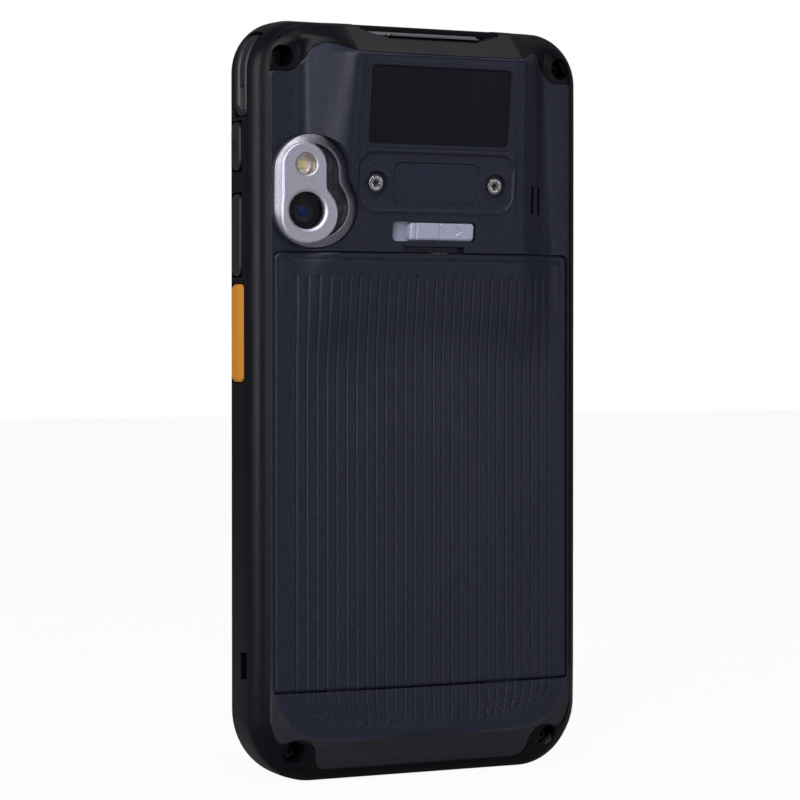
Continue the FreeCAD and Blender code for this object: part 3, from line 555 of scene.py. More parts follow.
# The chin's chamfer is left smooth in the mould, so it is flatter. Its lighter, warmer grey is painted light:
# the warm light thrown up from below onto this downward face.
chin_grey_painted_light = surface("chin_grey_painted_light", "#2c2a30", "#343138", 0.42, 0.5, 0.004, shine=0.3)
housing_snaps = [in_edge, lambda x, z: in_top_zone(x, z) - 0.06, lambda x, z: in_low_zone(x, z) - 0.06,
                 in_chin, door_hole, plate_seat, small_seat, stud_seat, latch_slot, notch, speaker_slot,
                 lambda x, z: keyhole(x, z, 0.15)]
rows = np.concatenate([np.arange(1.4, 19.5, 0.27), np.linspace(20.5, 108.0, 60),
                       np.arange(108.6, 152.6, CELL)])
skin = relief(columns, rows, housing_height,
              lambda x, z: on_housing(x, z) & ((in_chin(x, z) > 0) | (z > 24)), housing_snaps, 1.2, 0.24)
piece("housing_skin", *skin, housing_grey, "case", ["rear_housing"], "housing_grey", 30, recalc=False)
chin = relief(columns, rows[rows < 24], housing_height,
              lambda x, z: on_housing(x, z) & (in_chin(x, z) < 0) & (z < 24), housing_snaps, 1.2, 0.24)
piece("housing_chin", *chin, chin_grey_painted_light, "case", (), "housing_grey", 30, recalc=False)


def rectangle(half_x, low, high, radius, y, steps=6):
    """A ring of points round a rounded rectangle at one depth: an arc about each corner's centre."""
    turns = np.radians(np.add.outer([0, 90, 180, 270], 90.0 * np.arange(steps + 1) / steps))
    centre_x = np.array([half_x - radius, radius - half_x, radius - half_x, half_x - radius])[:, None]
    centre_z = np.array([high - radius, high - radius, low + radius, low + radius])[:, None]
    ring = np.stack([centre_x + radius * np.cos(turns), np.full(turns.shape, y),
                     centre_z + radius * np.sin(turns)], -1)
    return ring.reshape(-1, 3)


# Battery bay: the same moulding as a walled tray under the door, with a ledge for the seal.
bay = [rectangle(29.8, 22.8, 106.2, 1.0, 4.6), rectangle(29.8, 22.8, 106.2, 1.0, 0.3),
       rectangle(35.9, 16.0, 112.2, 1.0, 0.3), rectangle(35.9, 16.0, 112.2, 1.0, -1.3),
       rectangle(34.7, 18.9, 109.4, 0.6, -1.3), rectangle(34.7, 18.9, 109.4, 0.6, -0.7),
       rectangle(28.9, 23.7, 105.3, 0.8, -0.7), rectangle(28.6, 24.0, 105.0, 0.8, -0.4),
       rectangle(28.6, 24.0, 105.0, 0.8, 3.6)]
piece("battery_bay", *loop_stack(bay), housing_grey, "case", (), "housing_grey")

# Battery door: one bowed moulding of the same grained plastic, with a plain bevelled border and
# evenly spaced grooves. It hooks in below at the chin and is held by the latch above.
door_grey = surface("door_grey", "#191b29", "#2b2e41", 0.38, 0.28, 0.024, shine=0.28)


def door_edge(x, z):
    """Distance to the door's outline: square at the bottom, rounded at the top."""
    return np.where(z > 60, round_box(x, z, 34.4, 44.85, 1.5, 0, 64.2),
                    round_box(x, z, 34.4, 44.95, 0.15, 0, 64.15))


def door_height(x, z):
    """The rear face under the door, with its border bevelled, its inner line and its grooves."""
    border = -door_edge(x, z)
    y = rear_face(x, z) + 0.35 * np.clip(1 - border / 0.55, 0, 1) ** 2
    y = y + 0.12 * ridge(border - 1.5, 0.22) * np.clip((z - 96) / 8, 0, 1)
    return y + groove_depth(x, np.maximum(z, 19.3))


def bounded(xs, zs, height, edge, skirt, cell):
    """A relief whose whole outline is one edge line."""
    return relief(xs, zs, height, lambda x, z: edge(x, z) < 0, [edge], skirt, cell)


door_rows = np.concatenate([np.arange(19.1, 21.4, 0.25), np.linspace(22.2, 84.0, 60),
                            np.arange(84.8, 102.8, 0.6), np.arange(103.0, 109.4, 0.25)])
door = bounded(columns, door_rows, door_height, door_edge, 1.3, 0.25)
piece("door_skin", *door, door_grey, "door", ["battery_door"], "housing_grey", 30, recalc=False)

# The door's inside: a plain wall, a rib that carries the seal, two tongues that hook into the chin
# and the catch lug that the latch's bolt holds, all of one moulding with the door.


def dense(ring, step):
    """A closed ring of points with more points set evenly along its longer sides."""
    following = np.roll(ring, -1, axis=0)
    parts = [a + (b - a) * np.linspace(0, 1, max(1, int(np.linalg.norm(b - a) / step)) + 1)[:-1, None]
             for a, b in zip(ring, following)]
    return np.vstack(parts)


def joined(*surfaces):
    """Several surfaces as one list of points and one list of faces."""
    starts = np.cumsum([0] + [len(points) for points, _ in surfaces[:-1]])
    faces = [[int(k) + start for k in cell] for start, (_, cells) in zip(starts, surfaces) for cell in cells]
    return np.vstack([points for points, _ in surfaces]), faces


def block(low, high, bevel=0.15):
    """A block with bevelled long edges: four rings along Y."""
    middle = [(low[0] + high[0]) / 2, (low[2] + high[2]) / 2]
    half, tall = (high[0] - low[0]) / 2, (high[2] - low[2]) / 2
    rings = []
    for y, inset in ((low[1], bevel), (low[1] + bevel, 0), (high[1] - bevel, 0), (high[1], bevel)):
        ring = rectangle(half - inset, middle[1] - tall + inset, middle[1] + tall - inset, 0.2, y, 3)
        rings.append(ring + np.array([middle[0], 0, 0]))
    return loop_stack(rings)


wall = relief(np.linspace(-33.9, 33.9, 70), np.linspace(19.7, 108.6, 70), lambda x, z: rear_face(x, z) + 1.3,
              lambda x, z: door_edge(x, z) < -0.2, [], -0.3, 1.0)
rib = [dense(rectangle(*size, 0.0), 2.0) for size in ((33.3, 20.5, 107.7, 1.9), (31.9, 21.9, 106.3, 1.2))]
rib_count = min(len(ring) for ring in rib)
rib = [ring[np.linspace(0, len(ring) - 1, rib_count).astype(int)] for ring in rib]
RIB_TOP = -1.0
rib_rings = []
for ring, raised in ((rib[0], False), (rib[0], True), (rib[1], True), (rib[1], False)):
    y = np.full(len(ring), RIB_TOP) if raised else rear_face(ring[:, 0], ring[:, 2]) + 0.7
    rib_rings.append(np.column_stack([ring[:, 0], y, ring[:, 2]]))
lug_y = REAR_DEPTH - SLOPE * (105.8 - SLOPE_START)
inside_parts = joined((wall[0], wall[1][:, ::-1]), loop_stack(rib_rings, closed=True),
                      block((-22.4, -2.6, 17.1), (-14.4, -1.6, 20.6)),
                      block((14.4, -2.6, 17.1), (22.4, -1.6, 20.6)),
                      block((0.0, lug_y + 0.8, 104.95), (7.0, lug_y + 3.5, 106.65)))
piece("door_inside", *inside_parts, door_grey, "door", (), "housing_grey")

# Side keys: caps of satin ABS that stand 0.5 mm out of the flanks. The scan keys are orange, long and
# have a facet along their rear edge; the volume rocker and the power key are black.
# Dyed ABS from a polished mould: an even tone, with a soft highlight along each rounding.
key_black = surface("key_black", "#15161c", "#1b1c24", 0.32, 0.5, 0.004, shine=0.5)
key_orange = surface("key_orange", "#c17d25", "#cd892b", 0.40, 0.35, 0.006, shine=0.35)


def flank_ring(x, y_low, y_high, z_low, z_high, radius, ends):
    """A ring round a key at one X: a rounded rectangle, narrowed by a share over its last 2.2 mm."""
    half_y, half_z = (y_high - y_low) / 2, (z_high - z_low) / 2
    ring = rectangle(half_y, -half_z, half_z, radius, 0.0, 8)
    flat = ring[:, 0] * (1 - ends * np.clip((np.abs(ring[:, 2]) - half_z + 2.2) / 2.2, 0, 1))
    return np.column_stack([np.full(len(ring), x), flat + (y_high + y_low) / 2,
                            ring[:, 2] + (z_high + z_low) / 2])


def key_cap(side, y_low, y_high, z_low, z_high, profile, radius, ends=0.0, lean=0.0):
    """A key from its foot to its rounded face: rings along X, each drawn in by its inset, and the rear
    edge by more where it leans."""
    return loop_stack([flank_ring(side * out, y_low + inset * (1 + lean), y_high - inset, z_low + inset,
                                  z_high - inset, max(0.15, radius - inset), ends) for out, inset in profile])


SOFT_KEY = [(36.6, 0.05), (38.35, 0.0), (38.6, 0.06), (38.82, 0.25), (38.93, 0.5), (39.0, 0.9), (39.0, 1.5)]
CRISP_KEY = [(36.6, 0.05), (38.3, 0.0), (38.45, 0.05), (38.9, 0.55), (39.0, 0.75), (39.0, 1.3)]
for side, name, button, key in ((-1, "scan_key_left_cap", "left_scan_button", "scan_key_left"),
                                (1, "scan_key_right_cap", "right_scan_button", "scan_key_right")):
    cap = key_cap(side, 4.1, 9.8, 82.5, 102.6, CRISP_KEY, 1.3, 0.16, 1.5)
    piece(name, *cap, key_orange, button, [key], "orange_key", 24)
rocker = key_cap(-1, 4.9, 9.2, 104.15, 121.15, SOFT_KEY, 2.0)
piece("volume_rocker_cap", *rocker, key_black, "volume_button", ["volume_rocker"], "key_black", 24)
power = key_cap(-1, 5.0, 9.55, 125.85, 135.85, SOFT_KEY, 2.2)
piece("power_key_cap", *power, key_black, "power_button", ["power_key"], "key_black", 24)

# Power icon: an open ring and a stem, pad-printed in grey ink on the power key. The ink is matt, so
# it shows as a paler mark in every light.
icon_print = surface("icon_print", "#8b8d94", "#979aa1", 0.5, 0.4, 0.0)
ICON_FOOT, ICON_FACE = -38.98, -39.0
ICON_MIDDLE = (7.25, 131.1)


def icon_ring(radius, wide, from_deg, to_deg, count=28):
    """An open ring on a key's face: four arcs, inner and outer at foot and face, joined round and
    shut at both ends."""
    turns = np.radians(np.linspace(from_deg, to_deg, count))
    arcs = [np.column_stack([np.full(count, x), ICON_MIDDLE[0] + r * np.cos(turns),
                             ICON_MIDDLE[1] + r * np.sin(turns)])
            for r, x in ((radius - wide, ICON_FOOT), (radius - wide, ICON_FACE), (radius, ICON_FACE),
                         (radius, ICON_FOOT))]
    low = np.arange(4 * count).reshape(4, count)
    high = np.roll(low, -1, axis=0)
    quads = np.stack([low[:, :-1], low[:, 1:], high[:, 1:], high[:, :-1]], -1).reshape(-1, 4)
    return np.vstack(arcs), np.vstack([quads, low[::-1, 0], low[:, -1]])


STEM = [(7.13, 131.1), (7.37, 131.1), (7.37, 132.4), (7.13, 132.4)]
stem = ([(x, y, z) for x in (ICON_FOOT, ICON_FACE) for y, z in STEM],
        [[0, 1, 2, 3], [7, 6, 5, 4], [0, 4, 5, 1], [1, 5, 6, 2], [2, 6, 7, 3], [3, 7, 4, 0]])
icon = joined(icon_ring(1.0, 0.24, 125, 415), stem)
piece("power_icon", *icon, icon_print, "power_button", (), "key_black")

# Port cover: a moulded rubber flap that follows the flank round its upper corner. A ridge runs up its
# front side and a nail recess is let into its lower end; a plug on its inside fills the socket's mouth.
# Moulded TPU: a little lighter than the frame, because its finer grain scatters more light.
rubber = surface("flap_rubber", "#14151b", "#1b1c24", 0.42, 0.3, 0.006, shine=0.5)
FLAP_FOOT = 137.0
CORNER_START = 9.0


def flap_point(s, y, out):
    """A point a length s up the flank, round the corner past 9 mm, standing out from the outline."""
    turn = np.maximum(s - CORNER_START, 0) / TOP_TURN
    round_x = TOP_TURN - HALF_WIDTH - (TOP_TURN + out) * np.cos(turn)
    round_z = FLAP_FOOT + CORNER_START + (TOP_TURN + out) * np.sin(turn)
    straight = s < CORNER_START
    x = np.where(straight, -HALF_WIDTH - out, round_x)
    z = np.where(straight, FLAP_FOOT + s, round_z)
    return np.stack([x, y + 0 * s, z], -1)


def flap_edge(s, y):
    """Distance to the flap's outline, laid flat."""
    return round_box(y, s, 2.5, 8.8, 1.6, 5.3, 8.8)


def flap_out(s, y):
    """How far the flap stands out: rounded to its border, raised along the ridge, sunk at the nail recess."""
    rise = -0.35 * np.clip(1 + flap_edge(s, y) / 0.7, 0, 1) ** 2 + 0.05
    rise = rise + 0.30 * np.clip(0.5 - round_box(y, s, 0.85, 7.4, 0.8, 6.6, 8.9) / 0.5, 0, 1)
    return rise - 0.55 * np.clip(0.5 - round_box(y, s, 0.8, 2.4, 0.35, 4.5, 3.6) / 0.25, 0, 1)


s_grid, y_grid = np.meshgrid(np.linspace(0, 17.6, 141), np.linspace(2.8, 7.8, 51), indexing="ij")
outside = flap_point(s_grid, y_grid, flap_out(s_grid, y_grid)).reshape(-1, 3)
inside = flap_point(s_grid, y_grid, np.full(s_grid.shape, -1.15)).reshape(-1, 3)
cells = grid_cells(s_grid.shape)
centre_s, centre_y = s_grid.ravel()[cells].mean(1), y_grid.ravel()[cells].mean(1)
cells = cells[flap_edge(centre_s, centre_y) < 0]
border = open_sides(cells, s_grid.size)
walls = np.column_stack([border[:, ::-1], border + s_grid.size])
flap_skin = only_used(np.vstack([outside, inside]), np.vstack([cells, cells[:, ::-1] + s_grid.size, walls]))
plug = loop_stack([flank_ring(x, 3.95 + inset, 6.45 - inset, 138.0 + inset, 145.5 - inset, 1.1, 0.0)
                   for x, inset in ((-37.45, 0.0), (-37.0, 0.0), (-36.85, 0.15))])
piece("port_flap", *joined(flap_skin, plug), rubber, "flap", ["port_cover"], "rubber_black", 30)

# Camera surround: a machined aluminium ring pressed into the housing, a keyhole of two discs. A plate
# with the lens and the flash stands inside it, behind a deep channel, and all of it tilts with the fold.
# Anodised after turning: a clear metal with a soft sheen that is bright on its bevel.
ring_metal = surface("anodised_ring", "#8a8893", "#9e9ca8", 0.36, 0.6, 0.004, metal=1.0)
# Bead-blasted and anodised: even and pale, with hardly any reflection.
plate_metal = surface("blasted_plate", "#c6c5d6", "#d6d5e6", 0.42, 0.30, 0.012, metal=0.8)
# Left as milled, in a darker grey than the ring: painted shade, so that the channel reads as a shadow gap.
channel_shade_metal = surface("milled_channel_painted_shade", "#4c4a52", "#66646d", 0.35, 0.8, 0.004, metal=1.0)
FOLD_TILT = 0.12


def plate_outline(x, z, grow=0.0):
    """Distance to the inner plate, brought in or out by an amount."""
    return pill_and_disc(x, z, (-29.4, 126.6, 4.75 + grow), (-28.25, 116.8, 5.95 + grow))


def contour(distance, mid_x, mid_z, y, count=144):
    """A ring where a distance function is nought: the radius is halved in on along each ray. It tilts
    with the fold that the surround sits on, so its right side stands further out."""
    turns = np.linspace(0, 2 * math.pi, count, endpoint=False)
    near, far = np.zeros(count), np.full(count, 18.0)
    for _ in range(26):
        middle = (near + far) / 2
        inside = distance(mid_x + middle * np.cos(turns), mid_z + middle * np.sin(turns)) < 0
        near, far = np.where(inside, middle, near), np.where(inside, far, middle)
    x = mid_x + near * np.cos(turns)
    return np.column_stack([x, y - FOLD_TILT * (x + 28.0), mid_z + near * np.sin(turns)])


RING_PROFILE = [(0.0, -3.75), (0.0, -5.1), (-0.12, -5.3), (-0.3, -5.42), (-1.55, -5.93), (-1.7, -6.0),
                (-1.95, -6.0), (-2.05, -5.9), (-2.12, -5.6), (-2.25, -4.3), (-2.25, -3.75)]
rings = [contour(lambda x, z, g=g: keyhole(x, z, g), -27.6, 120.5, y) for g, y in RING_PROFILE]
piece("camera_ring", *loop_stack(rings, closed=True), ring_metal, "case", ["camera_bezel"], "bezel_metal", 24)
CHANNEL_PROFILE = [(keyhole, -2.2, -3.8), (keyhole, -2.2, -4.5), (plate_outline, -0.25, -4.3),
                   (plate_outline, -0.25, -3.8)]
rings = [contour(lambda x, z, d=distance, g=g: d(x, z, g), -28.6, 120.5, y)
         for distance, g, y in CHANNEL_PROFILE]
piece("camera_channel", *loop_stack(rings, closed=True), channel_shade_metal, "case", (), "bezel_metal", 24)
LENS = (-28.9, 117.4)
FLASH = (-29.1, 126.8)


def lens_hole(x, z):
    """Distance to the bore of the lens."""
    return np.hypot(x - LENS[0], z - LENS[1]) - 3.85


def flash_hole(x, z):
    """Distance to the bore of the flash."""
    return np.hypot(x - FLASH[0], z - FLASH[1]) - 2.25


def plate_height(x, z):
    """The tilted plate, rounded to its border and with a bevel round each bore."""
    return (-6.4 - FOLD_TILT * (x + 28.6) + 0.35 * np.clip(1 + plate_outline(x, z) / 0.4, 0, 1) ** 2
            + 0.30 * np.clip(1 - lens_hole(x, z) / 0.55, 0, 1)
            + 0.16 * np.clip(1 - flash_hole(x, z) / 0.25, 0, 1))


plate = relief(np.arange(-34.5, -19.4, 0.18), np.arange(110.2, 131.4, 0.18), plate_height,
               lambda x, z: (plate_outline(x, z) < 0) & (lens_hole(x, z) > 0) & (flash_hole(x, z) > 0),
               [plate_outline, lens_hole, flash_hole], 2.4, 0.18)
piece("camera_plate", *plate, plate_metal, "case", ["camera_island"], "bezel_metal", 28, recalc=False)

# Lens stack: a flat cover glass over a turned barrel with a baffle ring and a small lens.
# Blackened inside, so that hardly any light comes back from it.
barrel_black = surface("barrel_black", "#050506", "#08080a", 0.45, 0.5, 0.0, shine=0.1)
# Moulded black PC, which looks grey where the light reaches it.
baffle_grey = surface("baffle_grey", "#2a2c34", "#3a3c46", 0.40, 0.5, 0.0, shine=0.3)
# Ground glass under an anti-reflection coating. Its blue, from navy to a clear blue by noise, is a painted
# reflection: the coating's glint put into the base colour.
glint_blue = surface("lens_painted_blue_glint", "#0a1650", "#2456c8", 0.08, 0.8, 0.0, coat=0.4, shine=0.3)


def clear(name, tint, rough, body=1.0, index=1.5):
    """A clear ground or moulded part: light passes through it and only its edges and glints show."""
    made = surface(name, tint, tint, rough, 2.0, 0.0, spread=0.02)
    add_node(made.node_tree, "Principled BSDF", {"Transmission Weight": body, "IOR": index}, {})
    return made


def lathe(middle, profile, base_y=0.0, count=64, lean=0.0, closed=False):
    """A turned part: rings round an axis square to the face, from rows of a radius, a depth and, where
    there is one, the height of six lobes. The axis leans back by an angle, as the sloping face does."""
    turns = np.linspace(0, 2 * math.pi, count, endpoint=False)
    rings = []
    for radius, deep, *lobe in profile:
        r = radius + sum(lobe) * np.cos(6 * turns)
        up = r * np.sin(turns)
        rings.append(np.column_stack([middle[0] + r * np.cos(turns),
                                      base_y + deep * math.cos(lean) - up * math.sin(lean),
                                      middle[1] + up * math.cos(lean) + deep * math.sin(lean)]))
    return loop_stack(rings, closed)


barrel = lathe(LENS, [(3.82, -3.4), (3.82, -5.0), (3.55, -5.0), (3.3, -4.2), (2.3, -4.0), (2.3, -3.4)])
piece("lens_barrel", *barrel, barrel_black, "case", ["camera_barrel"], "module_black")
baffle = lathe(LENS, [(2.28, -3.95), (2.2, -4.15), (1.2, -3.75), (1.15, -3.5), (2.25, -3.5)], closed=True)
piece("lens_baffle", *baffle, baffle_grey, "case", (), "module_black")
dome = lathe(LENS, [(1.1, -3.52), (1.05, -3.72), (0.8, -3.86), (0.4, -3.94), (0.1, -3.96)])
piece("lens_dome", *dome, glint_blue, "case", (), "lens_glass")
# Coated on both sides, so its index is low: it mirrors next to nothing of the lamps.
cover_clear = clear("lens_cover_glass", "#a4a8b0", 0.03, index=1.12)
disc = lathe(LENS, [(3.7, -5.05), (3.78, -5.12), (3.78, -5.5), (3.7, -5.57)])
piece("lens_cover", *disc, cover_clear, "case", ["camera_window"], "lens_glass")

# Flash: a bright cup with a yellow emitter behind a clear moulded lens, snapped into the plate.
# Vacuum-metallised plastic: the cup mirrors the emitter, so the whole window looks pale.
cup_silver = surface("cup_silver", "#b9b6b4", "#d6d3d0", 0.22, 0.7, 0.0, metal=0.8)
# Phosphor in silicone: a dull yellow square.
emitter = surface("emitter_phosphor", "#d8c25a", "#e6d27a", 0.5, 0.2, 0.0)
# Moulded PMMA: clear, with a slightly dull face.
flash_clear = clear("flash_moulding", "#f4efe8", 0.10, 0.92)
cup = lathe(FLASH, [(2.2, -3.4), (2.2, -5.4), (2.05, -5.4), (1.6, -4.3), (1.0, -4.0)])
piece("flash_cup", *cup, cup_silver, "case", ["flash_lamp"], "flash_plastic")
chip = block((-29.9, -4.25, 126.1), (-28.3, -3.9, 127.5), 0.05)
piece("flash_emitter", *chip, emitter, "case", (), "flash_plastic")
dome = lathe(FLASH, [(2.15, -5.45), (2.2, -5.6), (2.15, -6.0), (1.7, -6.13), (1.0, -6.2), (0.3, -6.22)])
piece("flash_window", *dome, flash_clear, "case", ["flash_lens"], "flash_plastic")

# Plates: the large bare plate and the small one between the studs are thin films of polycarbonate,
# stuck into shallow seats. Their print is on the back, so the eye gets a flat satin skin over a deep tone.
film_dark = surface("film_dark", "#0c0e18", "#10121e", 0.36, 0.9, 0.002, shine=0.14)
film_blue = surface("film_blue", "#1c2133", "#23283d", 0.34, 0.9, 0.002, shine=0.28)


def middle_face(x, z):
    """Depth of the rear face on its middle line, the same all across."""
    return rear_face(x * 0, z)


def large_edge(x, z):
    """Distance to the large plate's outline."""
    return round_box(x, z, 16.2, 7.8, 0.8, 0, 139.2)


def small_edge(x, z):
    """Distance to the small plate's outline."""
    return round_box(x, z, 9.8, 4.15, 1.7, 0, 123.4)


plate = bounded(np.arange(-16.5, 16.6, 0.45), np.arange(131.2, 147.3, 0.4),
                lambda x, z: middle_face(x, z) + 0.42, large_edge, 0.4, 0.42)
piece("large_plate", *plate, film_dark, "case", ["label_plate"], "plate_dark", 30, recalc=False)
plate = bounded(np.arange(-10.1, 10.2, 0.3), np.arange(119.0, 127.9, 0.3),
                lambda x, z: middle_face(x, z) + 0.48, small_edge, 0.4, 0.3)
piece("small_plate", *plate, film_blue, "case", ["contact_window"], "window_dark", 30, recalc=False)

# Accessory studs: stainless screws with six-lobed sockets, seated in two round collars and square to
# the sloping face. Turned and passivated, so their rims glint and their sockets stay dark.
stainless = surface("stainless", "#a9a8aa", "#c4c3c5", 0.25, 0.6, 0.002, metal=1.0)
STUD_PROFILE = [(0.1, 0.95), (0.55, 0.95, 0.08), (0.62, 0.9, 0.10), (0.64, 0.36, 0.10), (0.86, 0.24, 0.03),
                (1.2, 0.20), (1.48, 0.24), (1.62, 0.34), (1.65, 0.48), (1.65, 1.0), (1.0, 1.05), (0.98, 3.9),
                (0.7, 4.2)]
stud_base = float(rear_face(np.array([0.0]), np.array([STUD_HEIGHT]))[0])
stud_parts = [lathe((side * STUD_SIDE, STUD_HEIGHT), STUD_PROFILE, stud_base, 72, math.atan(SLOPE))
              for side in (-1, 1)]
piece("studs", *joined(*stud_parts), stainless, "case", ["accessory_screws"], "steel", 30)

# Battery latch: a slide in a bright tray. It has three sections, the middle one raised as a grip, and
# an arrow is engraved on the right one. The bolt under it holds the door's catch lug.
# Metallic paint on ABS: fine flakes give a cool silver without a mirror image.
silver_paint = surface("silver_paint", "#b8bad2", "#c8cae2", 0.40, 0.25, 0.008, metal=0.35)
tray_bright = surface("tray_bright", "#a4a6bd", "#b3b5cc", 0.45, 0.3, 0.006, metal=0.2)
LATCH_HEIGHT = 113.55


def slide_edge(x, z):
    """Distance to the slide's outline."""
    return round_box(x, z, 7.6, 1.74, 0.72, 1.62, LATCH_HEIGHT)


def tray_edge(x, z):
    """Distance to the tray's outline."""
    return round_box(x, z, 9.6, 1.98, 0.85, 0, LATCH_HEIGHT)


def slide_height(x, z):
    """The sloping face with the three sections and the arrow; the left end falls away."""
    y = middle_face(x, z) - 0.22
    y = y - 0.22 * np.clip((x + 4.3) / 0.15, 0, 1) * np.clip((1.1 - x) / 0.15, 0, 1)
    y = y + 0.14 * ridge(x + 4.35, 0.14) + 0.12 * ridge(x - 1.15, 0.12)
    y = y + 1.1 * np.clip((-5.3 - x) / 0.9, 0, 1) ** 1.5
    y = y + 0.25 * np.clip(1 + slide_edge(x, z) / 0.35, 0, 1) ** 2
    arrow = (x > 4.9) & (np.abs(z - 113.75) < 0.95 * (1 - (x - 4.9) / 1.7))
    return y + np.where(arrow, 0.10, 0)


slide = bounded(np.arange(-6.4, 9.7, 0.11), np.arange(111.5, 115.8, 0.11), slide_height, slide_edge,
                1.1, 0.11)
piece("latch_slide", *slide, silver_paint, "latch", ["latch_slider"], "slider_silver", 30, recalc=False)
tray = bounded(np.arange(-9.8, 9.9, 0.3), np.arange(111.4, 115.8, 0.2),
               lambda x, z: middle_face(x, z) + 1.35 - 0.25 * np.clip(1 + tray_edge(x, z) / 0.3, 0, 1),
               tray_edge, 0.5, 0.2)
piece("latch_tray", *tray, tray_bright, "case", ["latch_bed"], "steel", 30, recalc=False)

# Case screws: steel, deep in the four corner recesses, where they clamp the frame to the chassis.
# Blackened by phosphating, so only the rim of each socket shows.
black_steel = surface("black_steel", "#0a0a0b", "#131315", 0.35, 0.4, 0.002, metal=0.6)
SCREW_PROFILE = [(0.1, 1.55), (0.6, 1.55, 0.09), (0.66, 0.98, 0.09), (0.95, 0.9), (1.4, 0.95), (1.65, 1.12),
                 (1.7, 1.3), (1.7, 2.0), (0.85, 2.05), (0.8, 6.0)]
screw_parts = [lathe(at, SCREW_PROFILE, count=48) for at in SCREWS]
piece("screws", *joined(*screw_parts), black_steel, "case", ["case_screws"], "screw_black", 30)

# Scan window: a filter glass across the throat in the top end, over the imager, under a glossy hood.
# Dyed deep red to pass only the scanner's light, and coated, so it looks black with a sharp glint.
filter_red = surface("filter_glass", "#1a0508", "#22070b", 0.08, 2.0, 0.0, coat=1.0)
rings = []
for inset, z in ((0.1, 153.52), (0.0, 153.6), (0.0, 153.8), (0.1, 153.88)):
    ring = rectangle(10.9 - inset, -7.0 + inset, -0.9 - inset, 0.8, 0.0)
    rings.append(np.column_stack([ring[:, 0], ring[:, 2], np.full(len(ring), z)]))
piece("scan_pane", *loop_stack(rings), filter_red, "case", ["scan_window"], "scan_glass")
# Polished ABS in a lighter grey than the frame: a painted reflection, the sky caught as a grey strip along
# the pocket's far wall.
hood_painted_reflection = surface("hood_painted_reflection", "#4a4b55", "#5a5b66", 0.22, 0.8, 0.0)
hood = bounded(np.arange(-13.8, 13.9, 0.3), np.arange(154.2, 155.2, 0.1),
               lambda x, z: -0.64 + 1.105 * (z - 154.2),
               lambda x, z: round_box(x, z, 13.6, 0.42, 0.1, 0, 154.68), 0.05, 0.1)
piece("scan_hood", *hood, hood_painted_reflection, "case", (), "frame_black", 30, recalc=False)

# The pieces inside and behind the screen keep their drafted shapes and get the finish of the real
# ones. Each line says what that finish gives the eye.
FINISHES = {
    # Chemically hardened glass over black print: a near-black mirror.
    ("cover_glass",): surface("hard_glass", "#040405", "#070708", 0.05, 3.0, 0.0, coat=1.0),
    # Polariser film on the panel, dark and smooth while it is off.
    ("display_panel",): surface("panel_stack", "#0a0b10", "#0f1017", 0.15, 2.0, 0.0),
    # Cast magnesium, a dull grey with flow marks.
    ("chassis_plate",): surface("cast_magnesium", "#8a8c90", "#9a9ca0", 0.50, 0.8, 0.010, metal=0.8),
    # Solder mask on glass fibre, deep green with the weave just showing.
    ("mainboard", "lower_board", "key_board_left", "key_board_right"):
        surface("solder_mask", "#0d3320", "#15432b", 0.35, 1.6, 0.004),
    # Tinned sheet steel, bright with a soft haze.
    ("processor_shield", "radio_shield", "microphone", "card_socket"):
        surface("tinned_sheet", "#9b9da0", "#b4b6b9", 0.32, 1.0, 0.003, metal=1.0),
    # Woven stainless wire, a dark sparkle.
    ("earpiece_mesh", "speaker_mesh"):
        surface("woven_mesh", "#24252a", "#4b4c52", 0.45, 0.25, 0.02, metal=0.9),
    # Moulded glass-filled nylon, matt black.
    ("earpiece_module", "front_camera", "speaker_module", "camera_module", "scan_engine"):
        surface("moulded_module", "#0e0e10", "#17171a", 0.48, 0.5, 0.005),
    # Moulded liquid-crystal polymer, black with a slight gloss.
    ("battery_contacts", "socket_tongue"): surface("connector_nylon", "#121214", "#1b1b1e", 0.42, 0.5, 0.003),
    # Deep-drawn and stamped steel, a clear grey gloss.
    ("vibration_motor", "key_domes", "data_socket", "latch_bolt"):
        surface("drawn_steel", "#98989b", "#b1b1b4", 0.28, 0.7, 0.002, metal=1.0),
    # Black film shrunk round the cell pack, a little uneven.
    ("battery",): surface("battery_foil", "#1b1b1e", "#26262a", 0.42, 1.4, 0.004),
    # Moulded silicone, dark grey and quite dull.
    ("door_seal",): surface("silicone_seal", "#2c2c2f", "#353539", 0.60, 0.4, 0.006),
    # Knurled brass, a warm yellow.
    ("screw_inserts",): surface("knurled_brass", "#a8853c", "#c6a253", 0.30, 0.35, 0.010, metal=1.0),
}
for names, finish in FINISHES.items():
    for name in names:
        for slot_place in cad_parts[name].material_slots:
            slot_place.material = finish

# Camera: where the photograph was taken from, with its focal length in the picture's own pixels.
PICTURE_WIDE = 800.0
FOCAL_PIXELS = 2970.0
DIP_PIXELS = 52.0
SENSOR_WIDE = 36.0
scene = bpy.context.scene
camera = bpy.data.objects.new("photo_camera", bpy.data.cameras.new("photo_camera"))
scene.collection.objects.link(camera)
camera.data.sensor_width = SENSOR_WIDE
camera.data.lens = SENSOR_WIDE * FOCAL_PIXELS / PICTURE_WIDE
camera.data.clip_start = 0.01
turn, dip = math.radians(27.5), math.atan(DIP_PIXELS / FOCAL_PIXELS)
ahead = Vector((math.sin(turn) * math.cos(dip), math.cos(turn) * math.cos(dip), -math.sin(dip)))
camera.location = (-0.29058, -0.54951, 0.08949)
camera.rotation_euler = ahead.to_track_quat("-Z", "Y").to_euler()
scene.camera = camera
scene.view_settings.view_transform = "Standard"

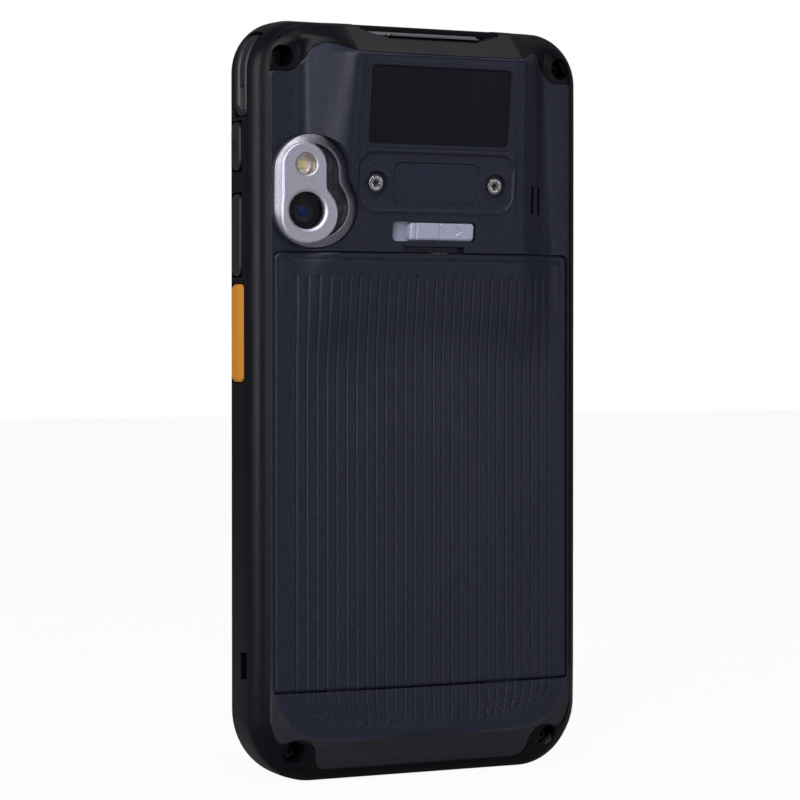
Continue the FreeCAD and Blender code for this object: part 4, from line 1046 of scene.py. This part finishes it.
# World: a plain studio. The camera and clear parts see it white, the plastics' and metals' reflections
# get a small share of that, and as a light it is weak.
world = bpy.data.worlds.new("studio")
scene.world = world
world.use_nodes = True
tree = world.node_tree
rays = add_node(tree, "ShaderNodeLightPath", {}, {}).outputs
white = add_node(tree, "ShaderNodeBackground", {"Color": (1, 1, 1, 1), "Strength": 1.0}, {}).outputs[0]
soft = add_node(tree, "Background", {"Color": (0.94, 0.96, 1.0, 1), "Strength": 0.08}, {}).outputs[0]
mirrored = add_node(tree, "ShaderNodeMixShader", {"Fac": 0.06}, {1: soft, 2: white}).outputs[0]
backdrop = soft
for ray, shown in (("Is Glossy Ray", mirrored), ("Is Camera Ray", white), ("Is Transmission Ray", white)):
    backdrop = add_node(tree, "ShaderNodeMixShader", {}, {"Fac": rays[ray], 1: backdrop, 2: shown}).outputs[0]
add_node(tree, "World Output", {}, {"Surface": backdrop})

# Lamps: soft boxes. Three stand on the left and above, where the photograph's highlights come from,
# and two weak ones fill the top end and the right side.


def lamp(name, place, target, wide, tall, power):
    """A soft box that faces a point; places in metres, power in watts."""
    light = bpy.data.lights.new(name, "AREA")
    light.shape = "RECTANGLE"
    light.size, light.size_y = wide, tall
    light.energy = power
    made = bpy.data.objects.new(name, light)
    scene.collection.objects.link(made)
    made.location = place
    made.rotation_euler = (Vector(target) - Vector(place)).to_track_quat("-Z", "Y").to_euler()


lamp("key_light", (-0.80, -0.78, 0.42), (0, 0, 0.08), 0.35, 0.9, 5.0)
lamp("left_light", (-1.1, 0.05, 0.30), (0, 0, 0.08), 0.30, 0.9, 6.0)
lamp("high_light", (-0.35, -0.75, 1.0), (0, 0, 0.08), 0.6, 0.5, 4.5)
lamp("top_light", (0.35, -0.15, 1.1), (0, 0, 0.10), 0.8, 0.4, 1.6)
lamp("right_light", (0.62, -0.95, 0.15), (0, 0, 0.10), 0.6, 0.26, 0.75)

# Floor: a sheet of white paper. The camera sees it almost white, with the object's shadow on it, and
# it throws less light up at the object than white paper would.
floor_mesh = bpy.data.meshes.new("floor")
floor_mesh.from_pydata([(-3, -3, 0), (3, -3, 0), (3, 3, 0), (-3, 3, 0)], [], [(0, 1, 2, 3)])
floor = bpy.data.objects.new("floor", floor_mesh)
scene.collection.objects.link(floor)
floor_white = bpy.data.materials.new("floor_white")
floor_white.use_nodes = True
tree = floor_white.node_tree
seen = add_node(tree, "ShaderNodeLightPath", {}, {}).outputs["Is Camera Ray"]
MATT = {"Roughness": 1.0, "Specular IOR Level": 0.0}
dim_paper = add_node(tree, "Principled BSDF", {"Base Color": (0.42, 0.42, 0.44, 1), **MATT}, {}).outputs[0]
paper = add_node(tree, "ShaderNodeBsdfPrincipled", {"Base Color": (0.9, 0.9, 0.9, 1), **MATT}, {}).outputs[0]
glow = add_node(tree, "ShaderNodeEmission", {"Strength": 1.0}, {}).outputs[0]
shown = add_node(tree, "ShaderNodeMixShader", {"Fac": 0.95}, {1: paper, 2: glow}).outputs[0]
blend = add_node(tree, "ShaderNodeMixShader", {}, {"Fac": seen, 1: dim_paper, 2: shown}).outputs[0]
add_node(tree, "Material Output", {}, {"Surface": blend})
floor.data.materials.append(floor_white)
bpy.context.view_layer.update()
